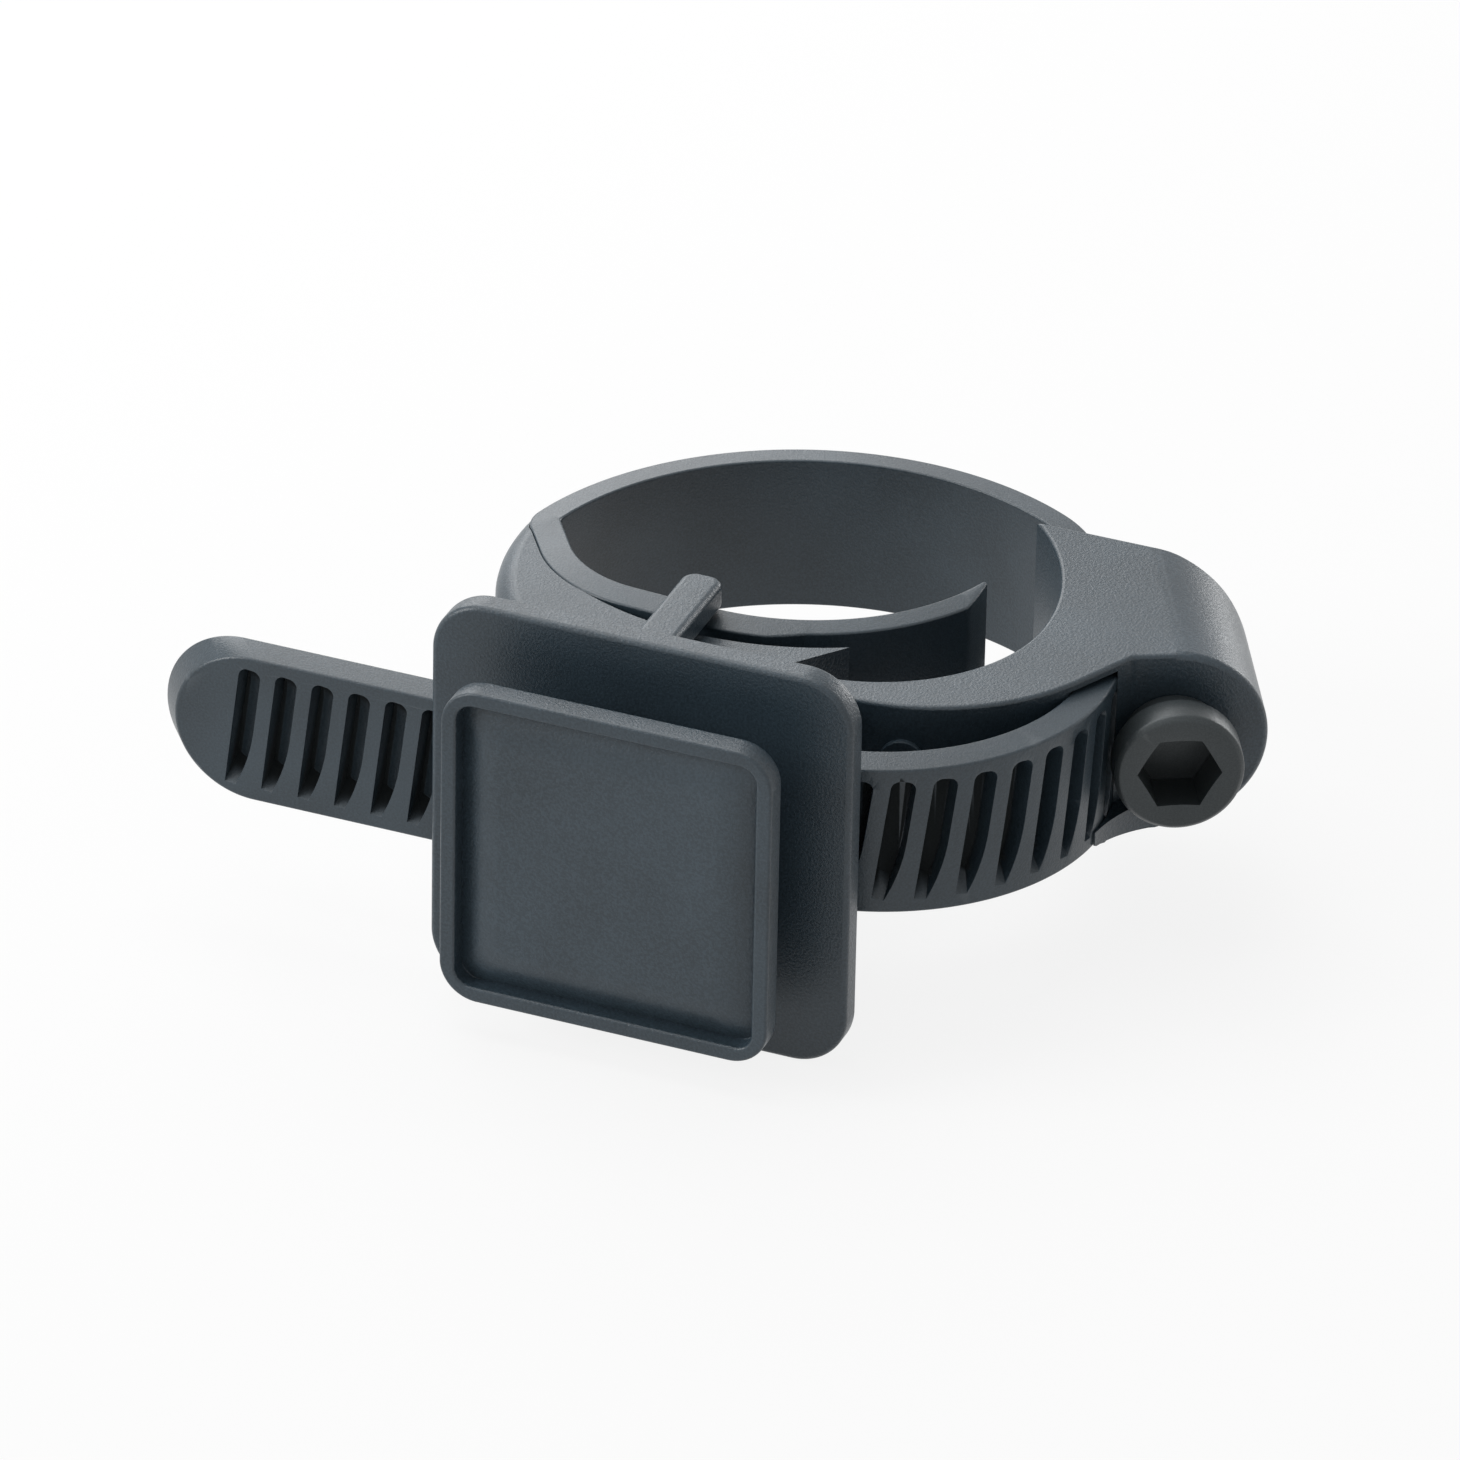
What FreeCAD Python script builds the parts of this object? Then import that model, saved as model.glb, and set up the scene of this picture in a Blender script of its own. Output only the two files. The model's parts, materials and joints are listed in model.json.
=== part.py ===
"""Handlebar bag mount: a strap clamp tightened by a worm screw, with a square plate for a bag clip.

Millimetres. Z is the handlebar's axis, -Y faces the bag, and the origin is the centre of the strap's loop.
"""
import math
import os

import FreeCAD
import Part

# Strap
strap_width = 11.4
strap_thickness = 2.1
loop_radius = 20.25
loop_end_angle = 166.0
entry_bend_radius = 8.07
worm_run_inset = 1.91
front_bend_radius = 14.0
front_run_depth = 17.25
step_radius = 30.0
step_angle = 15.5
tail_length = 28.4
tail_nose_slope = 0.4
corner_inner_radius = 0.6
corner_turn = 48.0
tongue_root_length = 3.3
tongue_root_radius = 9.0
tongue_root_turn = 52.0
tongue_flat_length = 5.6
tongue_radius = 16.2
tongue_turn = 75.0
tongue_bevel_length = 4.0
tongue_tip_thickness = 0.35

# Slots that the worm drives
slot_pitch = 2.64
slot_width = 1.55
slot_foot_width = 0.75
slot_height = 9.1
slot_depth = 1.1
slot_top_chamfer = 0.45
slot_lean = 7.0
first_slot_from_end = 6.46
last_slot_angle = 95.0

# Bag plate, neck and flange
plate_width = 29.6
plate_height = 29.1
plate_thickness = 2.0
plate_corner = 3.8
plate_edge_round = 0.5
plate_offset = -2.5
flange_width = 23.2
flange_height = 23.5
flange_thickness = 1.8
flange_corner = 2.7
flange_edge_round = 0.35
clip_gap = 4.17
rim_width = 1.1
window_corner = 1.2
window_depth = 1.1
pad_slope_width = 1.7
pad_rise = 0.65
neck_width = 17.5
neck_height = 16.0
neck_corner = 1.5

# Half ring, arm and cheek
wall_half_height = 6.5
arm_inner_radius = 12.0
arm_outer_radius = 14.56
arm_inner_x = 3.7
arm_inner_y = 3.0
arm_outer_x = 7.35
arm_outer_y = 3.6
guide_radius = 18.2
housing_back = 15.5
saddle_radius = 20.3
saddle_x = -5.45
saddle_y = 14.75
saddle_left = -15.7
saddle_right = 4.3
saddle_undercut = 2.6
saddle_undercut_depth = 3.3
cheek_radius = 19.5
cheek_x = -3.0
cheek_y = 4.0
cheek_top_angle = 171.0
cheek_slope = 1.5
strap_clearance = 0.2
boss_angle = -75.5
boss_height = 2.5
boss_radius = 1.45
boss_proud = 0.4

# Hook tabs over the rims of the tongue
tab_width = 2.9
tab_offset = -6.45
tab_reach = -1.9
tab_round = 0.9

# Worm screw and its barrel
screw_tilt = 27.5
worm_radius = 2.85
worm_root_radius = 1.95
thread_foot_width = 1.5
thread_tip_width = 0.7
thread_root_depth = 0.5
thread_runout = 0.2
worm_clearance = 0.2
worm_length = 8.6
running_clearance = 0.06
head_radius = 4.35
head_length = 2.4
head_chamfer = 0.35
collar_radius = 3.5
collar_length = 2.05
hex_across_flats = 4.9
hex_depth = 2.6
hex_mouth_chamfer = 0.45
barrel_front = -8.95
housing_corner_round = 4.0
lower_lip_angle = 1.0
front_bearing_wall = 2.0
rear_bearing_wall = 1.3
journal_radius = 1.6
clip_radius = 2.7
clip_thickness = 0.6
clip_groove_depth = 0.4
clip_slot_width = 1.8
clip_recess_clearance = 0.4
screw_end_length = 0.7
head_room = 0.3

# How far a cutting tool reaches past the face that it cuts
cut_over = 1.0

UP = FreeCAD.Vector(0, 0, 1)


def vec(x, y, z=0.0):
    """Short form of a point or direction."""
    return FreeCAD.Vector(x, y, z)


def polar(radius, degrees, centre=vec(0, 0)):
    """Point on a level circle."""
    angle = math.radians(degrees)
    return centre + vec(radius * math.cos(angle), radius * math.sin(angle))


def line(start, end):
    """Straight edge."""
    return Part.LineSegment(start, end).toShape()


def arc(centre, radius, start_angle, end_angle):
    """Edge along a level circle from one angle to another, in degrees."""
    middle = (start_angle + end_angle) / 2
    points = [polar(radius, angle, centre) for angle in (start_angle, middle, end_angle)]
    return Part.Arc(*points).toShape()


def prism(edges, bottom, top):
    """Solid between two levels over a closed outline of edges."""
    face = Part.Face(Part.Wire(Part.__sortEdges__(edges)))
    face.translate(vec(0, 0, bottom - face.BoundBox.ZMin))
    return face.extrude(vec(0, 0, top - bottom))


def polygon(points):
    """Edges of a closed outline through points."""
    return [line(points[i - 1], points[i]) for i in range(len(points))]


class Run:
    """One straight run (turn 0) or arc of a path seen from above, with a heading in degrees."""

    def __init__(self, start, heading, size, turn):
        self.start = start
        self.heading = heading
        self.size = size
        self.turn = turn
        self.length = size if turn == 0 else size * math.radians(abs(turn))

    def at(self, distance, offset=0.0):
        """Point at a distance along the run, offset to the right, and the heading there."""
        share = distance / self.length
        heading = self.heading + self.turn * share
        if self.turn == 0:
            point = self.start + polar(distance, self.heading)
        else:
            side = math.copysign(90, self.turn)
            centre = self.start + polar(self.size, self.heading + side)
            point = centre + polar(self.size, heading - side)
        return point + polar(offset, heading - 90), heading

    def edge(self, offset):
        """The run as an edge, offset to the right."""
        points = [self.at(self.length * share, offset)[0] for share in (0, 0.5, 1)]
        if self.turn == 0:
            return line(points[0], points[2])
        return Part.Arc(*points).toShape()


class Path:
    """Tangent runs from a start point; each move is a length or radius and a turn in degrees."""

    def __init__(self, start, heading, moves):
        self.runs = []
        for size, turn in moves:
            run = Run(start, heading, size, turn)
            self.runs.append(run)
            start, heading = run.at(run.length)
        self.length = sum(run.length for run in self.runs)

    def at(self, distance, offset=0.0):
        """Point and heading at a distance from the start, offset to the right."""
        for run in self.runs[:-1]:
            if distance <= run.length:
                return run.at(distance, offset)
            distance -= run.length
        return self.runs[-1].at(distance, offset)

    def distance_to(self, run):
        """Distance from the start to one of the runs."""
        return sum(earlier.length for earlier in self.runs[:self.runs.index(run)])

    def band(self, left, right, half_height):
        """Solid along the whole path, reaching left and right of it, level at top and bottom."""
        edges = [run.edge(right) for run in self.runs] + [run.edge(-left) for run in self.runs]
        for distance in (0, self.length):
            edges.append(line(self.at(distance, right)[0], self.at(distance, -left)[0]))
        return prism(edges, -half_height, half_height)


# Places that follow from the driving dimensions
half_strap = strap_thickness / 2
arm_inner_centre = vec(arm_inner_x, arm_inner_y)
arm_outer_centre = vec(arm_outer_x, arm_outer_y)
saddle_centre = vec(saddle_x, saddle_y)
cheek_centre = vec(cheek_x, cheek_y)
channel_half = half_strap + strap_clearance
channel_half_height = strap_width / 2 + strap_clearance
axis_along = polar(1, screw_tilt + 90)
axis_outward = polar(1, screw_tilt)
loop_mid_radius = loop_radius + half_strap
entry_mid_radius = entry_bend_radius + half_strap
front_mid_radius = front_bend_radius + half_strap
strap_line = loop_mid_radius - worm_run_inset
entry_turn = math.degrees(math.acos(1 - worm_run_inset / (loop_mid_radius - entry_mid_radius)))
loop_start_angle = screw_tilt + entry_turn
entry_centre = polar(loop_mid_radius - entry_mid_radius, loop_start_angle)
front_bend_y = front_mid_radius - front_run_depth
front_bend_x = (strap_line - front_mid_radius - front_bend_y * axis_outward.y) / axis_outward.x
front_bend_centre = vec(front_bend_x, front_bend_y)
worm_run_length = (entry_centre - front_bend_centre).dot(axis_along)
step_forward = 2 * step_radius * math.sin(math.radians(step_angle))
step_rise = 2 * step_radius * (1 - math.cos(math.radians(step_angle)))
tail_start = front_bend_centre - vec(step_forward + tail_length, front_mid_radius + step_rise)
plate_back = tail_start.y - channel_half
plate_front = plate_back - plate_thickness
flange_back = plate_front - clip_gap
flange_front = flange_back - flange_thickness
wall_outer = arm_outer_centre.y - arm_outer_radius
wall_inner = arm_inner_centre.y - arm_inner_radius
collar_seat = barrel_front - running_clearance
head_back = collar_seat - collar_length
head_front = head_back - head_length
bend_start = front_bend_centre.dot(axis_along)
front_outer_radius = front_bend_radius + strap_thickness


def bend_room(along):
    """How far the strap's outer face has bent away from the worm's run at a station of the screw."""
    return front_outer_radius - math.sqrt(front_outer_radius ** 2 - (bend_start - along) ** 2)


# The screw lies as close to the strap as its worm, collar and head allow
axis_height = max(
    worm_radius + worm_clearance,
    collar_radius + running_clearance - bend_room(collar_seat),
    head_radius + running_clearance - bend_room(head_back),
)
axis_foot = axis_outward * (strap_line + half_strap + axis_height)
barrel_back = (housing_back - axis_foot.y) / axis_along.y
worm_start = barrel_front + front_bearing_wall
worm_end = worm_start + worm_length
clip_seat = worm_end + strap_clearance + rear_bearing_wall

strap_path = Path(tail_start, 0, [
    (tail_length, 0),
    (step_radius, step_angle),
    (step_radius, -step_angle),
    (front_mid_radius, 90 + screw_tilt),
    (worm_run_length, 0),
    (entry_mid_radius, entry_turn),
    (loop_mid_radius, loop_end_angle - loop_start_angle),
    (corner_inner_radius + half_strap, corner_turn),
    (tongue_root_length, 0),
    (tongue_root_radius, tongue_root_turn),
    (tongue_flat_length, 0),
    (tongue_radius, tongue_turn),
])
loop_run, corner_run, tongue_root_run, tongue_bend_run = strap_path.runs[6:10]


def on_axis(shape):
    """Place a shape drawn along +Z from the origin onto the screw's axis."""
    shape.Placement = FreeCAD.Placement(axis_foot, FreeCAD.Rotation(UP, axis_along)).multiply(shape.Placement)
    return shape


def drum(radius, start, end):
    """Cylinder about the screw's axis between two stations along it."""
    return on_axis(Part.makeCylinder(radius, end - start, vec(0, 0, start)))


def slot_pocket():
    """Pocket for one thread of the worm, at the origin, sunk towards +Y and narrower at its foot."""
    left = -slot_width / 2
    right = slot_width / 2
    top = slot_height / 2
    swell = (slot_width - slot_foot_width) / 3
    outline = polygon([
        vec(left, -cut_over, -top),
        vec(left + slot_foot_width, -cut_over, -top),
        vec(right - swell, -cut_over, -top / 2),
        vec(right, -cut_over, 0),
        vec(right, -cut_over, top - slot_top_chamfer),
        vec(right - slot_top_chamfer, -cut_over, top),
        vec(left + slot_top_chamfer, -cut_over, top),
        vec(left, -cut_over, top - slot_top_chamfer),
    ])
    pocket = Part.Face(Part.Wire(outline)).extrude(vec(0, slot_depth + cut_over))
    pocket.rotate(vec(0, 0), vec(0, 1, 0), slot_lean)
    return pocket


def clamp_strap():
    """Strap with a round tail, a bevelled tongue and the row of slots on its outer face."""
    strap = strap_path.band(half_strap, half_strap, strap_width / 2)

    round_radius = strap_width / 2
    block = Part.makeBox(round_radius + cut_over, 2 * strap_width, 2 * strap_width,
                         tail_start + vec(-cut_over, -strap_width, -strap_width))
    nose_axis = vec(-tail_nose_slope, 1)
    nose_start = tail_start + vec(round_radius * nose_axis.Length, half_strap)
    rounder = Part.makeCylinder(round_radius, 2 * strap_width,
                                nose_start - nose_axis * strap_width, nose_axis)
    strap = strap.cut(block.cut(rounder))

    bevel_start = strap_path.length - tongue_bevel_length
    bevel = polygon([
        strap_path.at(bevel_start, half_strap)[0],
        strap_path.at(strap_path.length, tongue_tip_thickness - half_strap)[0],
        strap_path.at(strap_path.length, strap_thickness)[0],
        strap_path.at(bevel_start, strap_thickness)[0],
    ])
    strap = strap.cut(prism(bevel, -strap_width, strap_width))

    pockets = []
    loop_reach = math.radians(last_slot_angle - loop_start_angle)
    last_slot = strap_path.distance_to(loop_run) + loop_mid_radius * loop_reach
    distance = first_slot_from_end
    while distance <= last_slot:
        point, heading = strap_path.at(distance, half_strap)
        pocket = slot_pocket()
        pocket.rotate(vec(0, 0), UP, heading)
        pocket.translate(point)
        pockets.append(pocket)
        distance += slot_pitch
    return strap.cut(pockets)


def rounded_block(width, height, front, back, corner, edge_round=0.0):
    """Block on the plate's centre line with round corners seen from the front and a round front rim."""
    block = Part.makeBox(width, back - front, height, vec(plate_offset - width / 2, front, -height / 2))
    tolerance = (back - front) / 100
    corners = [edge for edge in block.Edges if edge.BoundBox.YLength > tolerance]
    block = block.makeFillet(corner, corners)
    if edge_round:
        rim = [edge for edge in block.Edges if edge.BoundBox.YMax < front + tolerance]
        block = block.makeFillet(edge_round, rim)
    return block


def square_wire(width, height, y):
    """Upright rectangle on the plate's centre line."""
    corners = [(-1, -1), (1, -1), (1, 1), (-1, 1)]
    return Part.Wire(polygon([vec(plate_offset + i * width / 2, y, j * height / 2) for i, j in corners]))


def bag_flange():
    """Front flange with a rim round a sunk window, and a raised pad with sloping borders in it."""
    flange = rounded_block(flange_width, flange_height, flange_front, flange_back, flange_corner,
                           flange_edge_round)
    window_width = flange_width - 2 * rim_width
    window_height = flange_height - 2 * rim_width
    window_floor = flange_front + window_depth
    window = rounded_block(window_width, window_height, flange_front - window_depth, window_floor,
                           window_corner)
    pad = Part.makeLoft([
        square_wire(window_width, window_height, window_floor),
        square_wire(window_width - 2 * pad_slope_width, window_height - 2 * pad_slope_width,
                    window_floor - pad_rise),
    ], True)
    return flange.cut(window).fuse(pad)


def station(along, outward=0.0):
    """Point at a station along the screw's axis, moved away from the strap."""
    return axis_foot + axis_along * along + axis_outward * outward


def arm_corner():
    """Corner where the housing's front face meets the outside of the arm."""
    to_front = station(barrel_front) - arm_outer_centre
    reach = to_front.dot(axis_outward)
    inset = reach - math.sqrt(reach ** 2 - to_front.dot(to_front) + arm_outer_radius ** 2)
    return station(barrel_front, -inset)


def arm_and_housing():
    """Wall behind the neck that runs on as the arm and widens to the housing, rounded over the screw."""
    barrel_radius = wall_half_height
    front_corner = arm_corner()
    from_centre = front_corner - arm_outer_centre
    corner_angle = math.degrees(math.atan2(from_centre.y, from_centre.x))
    side_front = station(barrel_front, barrel_radius)
    side_back = side_front + axis_along * ((housing_back - side_front.y) / axis_along.y)

    guide_centre = arm_inner_centre + vec(arm_inner_radius - guide_radius, 0)
    guide_angle = math.degrees(math.asin((housing_back - guide_centre.y) / guide_radius))
    wall_left = plate_offset - neck_width / 2
    outline = [
        line(polar(guide_radius, guide_angle, guide_centre), side_back),
        line(side_back, side_front),
        line(side_front, front_corner),
        arc(arm_outer_centre, arm_outer_radius, corner_angle, -90),
        line(vec(arm_outer_centre.x, wall_outer), vec(wall_left, wall_outer)),
        line(vec(wall_left, wall_outer), vec(wall_left, wall_inner)),
        line(vec(wall_left, wall_inner), vec(arm_inner_centre.x, wall_inner)),
        arc(arm_inner_centre, arm_inner_radius, -90, 0),
        arc(guide_centre, guide_radius, 0, guide_angle),
    ]
    wall = prism(outline, -wall_half_height, wall_half_height)
    back_corner = [edge for edge in wall.Edges if edge.BoundBox.isInside(side_back)
                   and edge.BoundBox.ZLength > wall_half_height]
    wall = wall.makeFillet(housing_corner_round, back_corner)

    reach = barrel_radius + cut_over
    ends = [station(barrel_front - cut_over), station(barrel_back + barrel_radius)]
    sides = [end + axis_outward * reach for end in reversed(ends)]
    beside = prism(polygon(ends + sides), -reach, reach)
    return wall.cut(beside.cut(drum(barrel_radius, barrel_front - reach, barrel_back + 2 * reach)))


def lower_lip():
    """Shelf under the strap where it leaves the housing."""
    shelf = polygon([
        station(barrel_front),
        polar(front_outer_radius, lower_lip_angle, front_bend_centre),
        polar(front_bend_radius, lower_lip_angle, front_bend_centre),
        arm_corner() - axis_outward * strap_thickness,
    ])
    return prism(shelf, -wall_half_height, -channel_half_height)


def saddle_point(x):
    """Point of the saddle's hollow face, and its angle about the saddle's centre."""
    side = x - saddle_centre.x
    depth = math.sqrt(saddle_radius ** 2 - side ** 2)
    return vec(x, saddle_centre.y - depth), math.degrees(math.atan2(-depth, side))


def saddle_and_cheek():
    """Pad that backs the tongue, joined to the cheek that wraps the strap's sharp bend."""
    cheek_start = 180 + math.degrees(math.asin((cheek_centre.y - wall_outer) / cheek_radius))
    left_tip, left_angle = saddle_point(saddle_left)
    right_tip, right_angle = saddle_point(saddle_right)
    foot = right_tip - vec(saddle_undercut, saddle_undercut_depth)
    corner_distance = strap_path.distance_to(corner_run)
    bend_distance = strap_path.distance_to(tongue_bend_run)
    third = tongue_bend_run.length / 3
    along_strap = [
        polar(cheek_radius, cheek_top_angle, cheek_centre),
        strap_path.at(corner_distance - strap_thickness)[0],
        strap_path.at(corner_distance)[0],
        strap_path.at(bend_distance - third)[0],
        strap_path.at(bend_distance)[0],
        strap_path.at(bend_distance + third)[0],
        left_tip,
    ]
    outline = [line(along_strap[i], along_strap[i + 1]) for i in range(len(along_strap) - 1)]
    outline += [
        arc(cheek_centre, cheek_radius, cheek_start, cheek_top_angle),
        arc(saddle_centre, saddle_radius, left_angle, right_angle),
        line(right_tip, foot),
        line(foot, vec(foot.x, wall_outer)),
        line(vec(foot.x, wall_outer), polar(cheek_radius, cheek_start, cheek_centre)),
    ]
    pad = prism(outline, -channel_half_height, channel_half_height)
    middle = polar(cheek_radius, (cheek_start + cheek_top_angle) / 2, cheek_centre)
    rims = [Part.Vertex(middle + vec(0, 0, level)) for level in (-channel_half_height, channel_half_height)]
    shoulders = [edge for edge in pad.Edges for rim in rims if edge.distToShape(rim)[0] < strap_clearance]
    return pad.makeChamfer(cheek_slope, shoulders)


def arm_boss():
    """Small round boss on the outside of the arm, behind the strap."""
    outward = polar(1, boss_angle)
    foot = polar(arm_outer_radius - boss_radius, boss_angle, arm_outer_centre) + vec(0, 0, boss_height)
    return Part.makeCylinder(boss_radius, boss_radius + boss_proud, foot, outward)


def hook_tab(side):
    """Finger over the tongue's rim, above for side 1 and below for side -1."""
    thickness = neck_height / 2 - channel_half_height
    bottom = channel_half_height if side > 0 else -neck_height / 2
    tab = Part.makeBox(tab_width, tab_reach - wall_outer, thickness,
                       vec(tab_offset - tab_width / 2, wall_outer, bottom))
    corners = [edge for edge in tab.Edges if edge.BoundBox.YMin > tab_reach - tab_round
               and edge.BoundBox.ZLength > thickness / 2]
    return tab.makeFillet(tab_round, corners)


def mount_body():
    """The moulding: bag plate and flange, neck, half ring, hook tabs and screw housing."""
    pieces = [
        rounded_block(plate_width, plate_height, plate_front, plate_back, plate_corner, plate_edge_round),
        rounded_block(neck_width, neck_height, flange_back, plate_front, neck_corner),
        rounded_block(neck_width, neck_height, plate_back, wall_outer, neck_corner),
        arm_and_housing(),
        saddle_and_cheek(),
        arm_boss(),
        hook_tab(1),
        hook_tab(-1),
        lower_lip(),
    ]
    body = bag_flange().fuse(pieces).removeSplitter()
    bore = worm_radius + running_clearance
    cuts = [
        strap_path.band(channel_half, channel_half, channel_half_height),
        drum(head_radius + head_room, head_front - cut_over, barrel_front),
        drum(bore, barrel_front - cut_over, worm_end + strap_clearance),
        drum(journal_radius + running_clearance, worm_end, clip_seat + cut_over),
        drum(clip_radius + clip_recess_clearance, clip_seat, barrel_back + cut_over),
    ]
    return body.cut(cuts)


def worm_thread():
    """Helical thread that drives the strap, about +Z, rooted in the core."""
    flank = (thread_foot_width - thread_tip_width) / 2 / (worm_radius - worm_root_radius)
    root_half = thread_foot_width / 2 + flank * thread_root_depth
    start = worm_start + thread_runout + root_half
    height = worm_length - 2 * (thread_runout + root_half)
    profile = Part.Wire(polygon([
        vec(worm_root_radius - thread_root_depth, 0, start - root_half),
        vec(worm_radius, 0, start - thread_tip_width / 2),
        vec(worm_radius, 0, start + thread_tip_width / 2),
        vec(worm_root_radius - thread_root_depth, 0, start + root_half),
    ]))
    helix = Part.makeHelix(slot_pitch, height, worm_root_radius)
    helix.translate(vec(0, 0, start))
    return Part.Wire(helix.Edges).makePipeShell([profile], True, True)


def worm_screw():
    """Screw with a hex socket head, front journal, worm and a rear journal grooved for its clip."""
    head = Part.makeCylinder(head_radius, head_length, vec(0, 0, head_front))
    rim = [edge for edge in head.Edges if edge.BoundBox.ZMax < head_front + head_chamfer]
    head = head.makeChamfer(head_chamfer, rim)
    corner_radius = hex_across_flats / math.sqrt(3)
    hexagon = [polar(corner_radius, 60 * i + 30) + vec(0, 0, head_front) for i in range(6)]
    socket = Part.Face(Part.Wire(polygon(hexagon))).extrude(vec(0, 0, hex_depth))
    mouth = Part.makeCone(hex_across_flats / 2 + hex_mouth_chamfer, hex_across_flats / 2, hex_mouth_chamfer,
                          vec(0, 0, head_front))
    clip_end = clip_seat + running_clearance + clip_thickness
    end = clip_end + screw_end_length
    shaft = [
        Part.makeCylinder(collar_radius, collar_length, vec(0, 0, head_back)),
        Part.makeCylinder(worm_radius, worm_start - collar_seat, vec(0, 0, collar_seat)),
        Part.makeCylinder(worm_root_radius, worm_length, vec(0, 0, worm_start)),
        Part.makeCylinder(journal_radius, end - worm_end, vec(0, 0, worm_end)),
        worm_thread(),
    ]
    screw = head.cut([socket, mouth]).fuse(shaft).removeSplitter()
    groove_place = vec(0, 0, clip_seat + running_clearance)
    groove = Part.makeCylinder(journal_radius + cut_over, clip_thickness, groove_place)
    groove = groove.cut(Part.makeCylinder(journal_radius - clip_groove_depth, clip_thickness, groove_place))
    return on_axis(screw.cut(groove))


def retaining_clip():
    """Open ring in the groove of the rear journal."""
    base = clip_seat + running_clearance
    ring = Part.makeCylinder(clip_radius, clip_thickness, vec(0, 0, base))
    ring = ring.cut(Part.makeCylinder(journal_radius - clip_groove_depth, clip_thickness, vec(0, 0, base)))
    mouth = Part.makeBox(clip_slot_width, clip_radius, clip_thickness, vec(-clip_slot_width / 2, 0, base))
    return on_axis(ring.cut(mouth))


os.makedirs("parts", exist_ok=True)
for make in (mount_body, clamp_strap, worm_screw, retaining_clip):
    shape = make()
    solids = shape.Solids
    print(make.__name__, len(solids), shape.isValid(), round(shape.Volume, 3))
    shape.exportStep("parts/" + make.__name__ + ".step")
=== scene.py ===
"""Looks of a handlebar bag mount: moulded body, slotted strap, worm screw, soft studio light and camera.

Sizes in the classes are millimetres, as on a drawing; meshes are made in metres in the part's own frame,
with Z along the handlebar and -Y towards the bag.
"""

from __future__ import annotations

import json
import logging
import math
from dataclasses import dataclass, field
from enum import Enum, IntEnum
from typing import Callable

import bpy
from mathutils import Matrix, Vector

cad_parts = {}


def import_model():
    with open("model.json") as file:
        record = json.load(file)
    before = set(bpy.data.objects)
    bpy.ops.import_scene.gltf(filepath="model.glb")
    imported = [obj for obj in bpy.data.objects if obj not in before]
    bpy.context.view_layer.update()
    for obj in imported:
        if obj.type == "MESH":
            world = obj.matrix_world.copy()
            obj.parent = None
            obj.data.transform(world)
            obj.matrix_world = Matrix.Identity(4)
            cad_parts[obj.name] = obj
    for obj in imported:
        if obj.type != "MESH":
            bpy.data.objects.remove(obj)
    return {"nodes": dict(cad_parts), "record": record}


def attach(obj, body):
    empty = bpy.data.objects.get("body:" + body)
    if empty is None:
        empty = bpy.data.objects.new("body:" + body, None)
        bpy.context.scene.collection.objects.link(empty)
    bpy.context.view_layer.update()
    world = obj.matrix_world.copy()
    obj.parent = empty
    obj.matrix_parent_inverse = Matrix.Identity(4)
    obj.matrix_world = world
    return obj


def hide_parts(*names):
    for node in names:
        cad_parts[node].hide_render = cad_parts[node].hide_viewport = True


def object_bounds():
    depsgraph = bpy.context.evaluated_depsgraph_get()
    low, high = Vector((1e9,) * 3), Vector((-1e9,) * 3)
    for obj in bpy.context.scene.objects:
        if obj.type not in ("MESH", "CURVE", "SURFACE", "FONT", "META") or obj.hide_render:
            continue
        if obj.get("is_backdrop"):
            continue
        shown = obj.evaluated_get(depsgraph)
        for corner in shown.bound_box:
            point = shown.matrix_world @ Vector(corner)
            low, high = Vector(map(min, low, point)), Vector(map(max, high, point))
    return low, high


LOG = logging.getLogger("bag_mount")
MM = 0.001
ARC_STEP = math.radians(2.5)
SMOOTH_ANGLE = math.radians(40)
NORMAL_WEIGHT = 60
OUTLINE_WELD = 0.01
REVOLVE_WELD = 0.005
FINISH_WELD = 0.002
FACETS_FINE = 144
FACETS_TURNED = 120
FACETS_SMALL = 64
NODE_SPACING = 220
Point = tuple[float, float]
Shade = tuple[float, float, float]


class BodyName(Enum):
    """Rigid bodies of the part that pieces ride on."""

    FRAME = "frame"
    SCREW = "screw"


class Cut(Enum):
    """How one solid acts on another."""

    JOIN = "UNION"
    REMOVE = "DIFFERENCE"


class Leg(IntEnum):
    """Runs of the strap's course that other sizes refer to, in the course's order."""

    LOOP = 6
    CORNER = 7
    TONGUE_ROOT = 9


def polar(radius: float, degrees: float, centre: Point = (0.0, 0.0)) -> Point:
    """Point on a level circle.

    Args:
        radius: Radius of the circle.
        degrees: Angle from +X towards +Y.
        centre: Centre of the circle.

    Returns:
        The point, in the unit of the radius.
    """
    angle = math.radians(degrees)
    return centre[0] + radius * math.cos(angle), centre[1] + radius * math.sin(angle)


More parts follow.
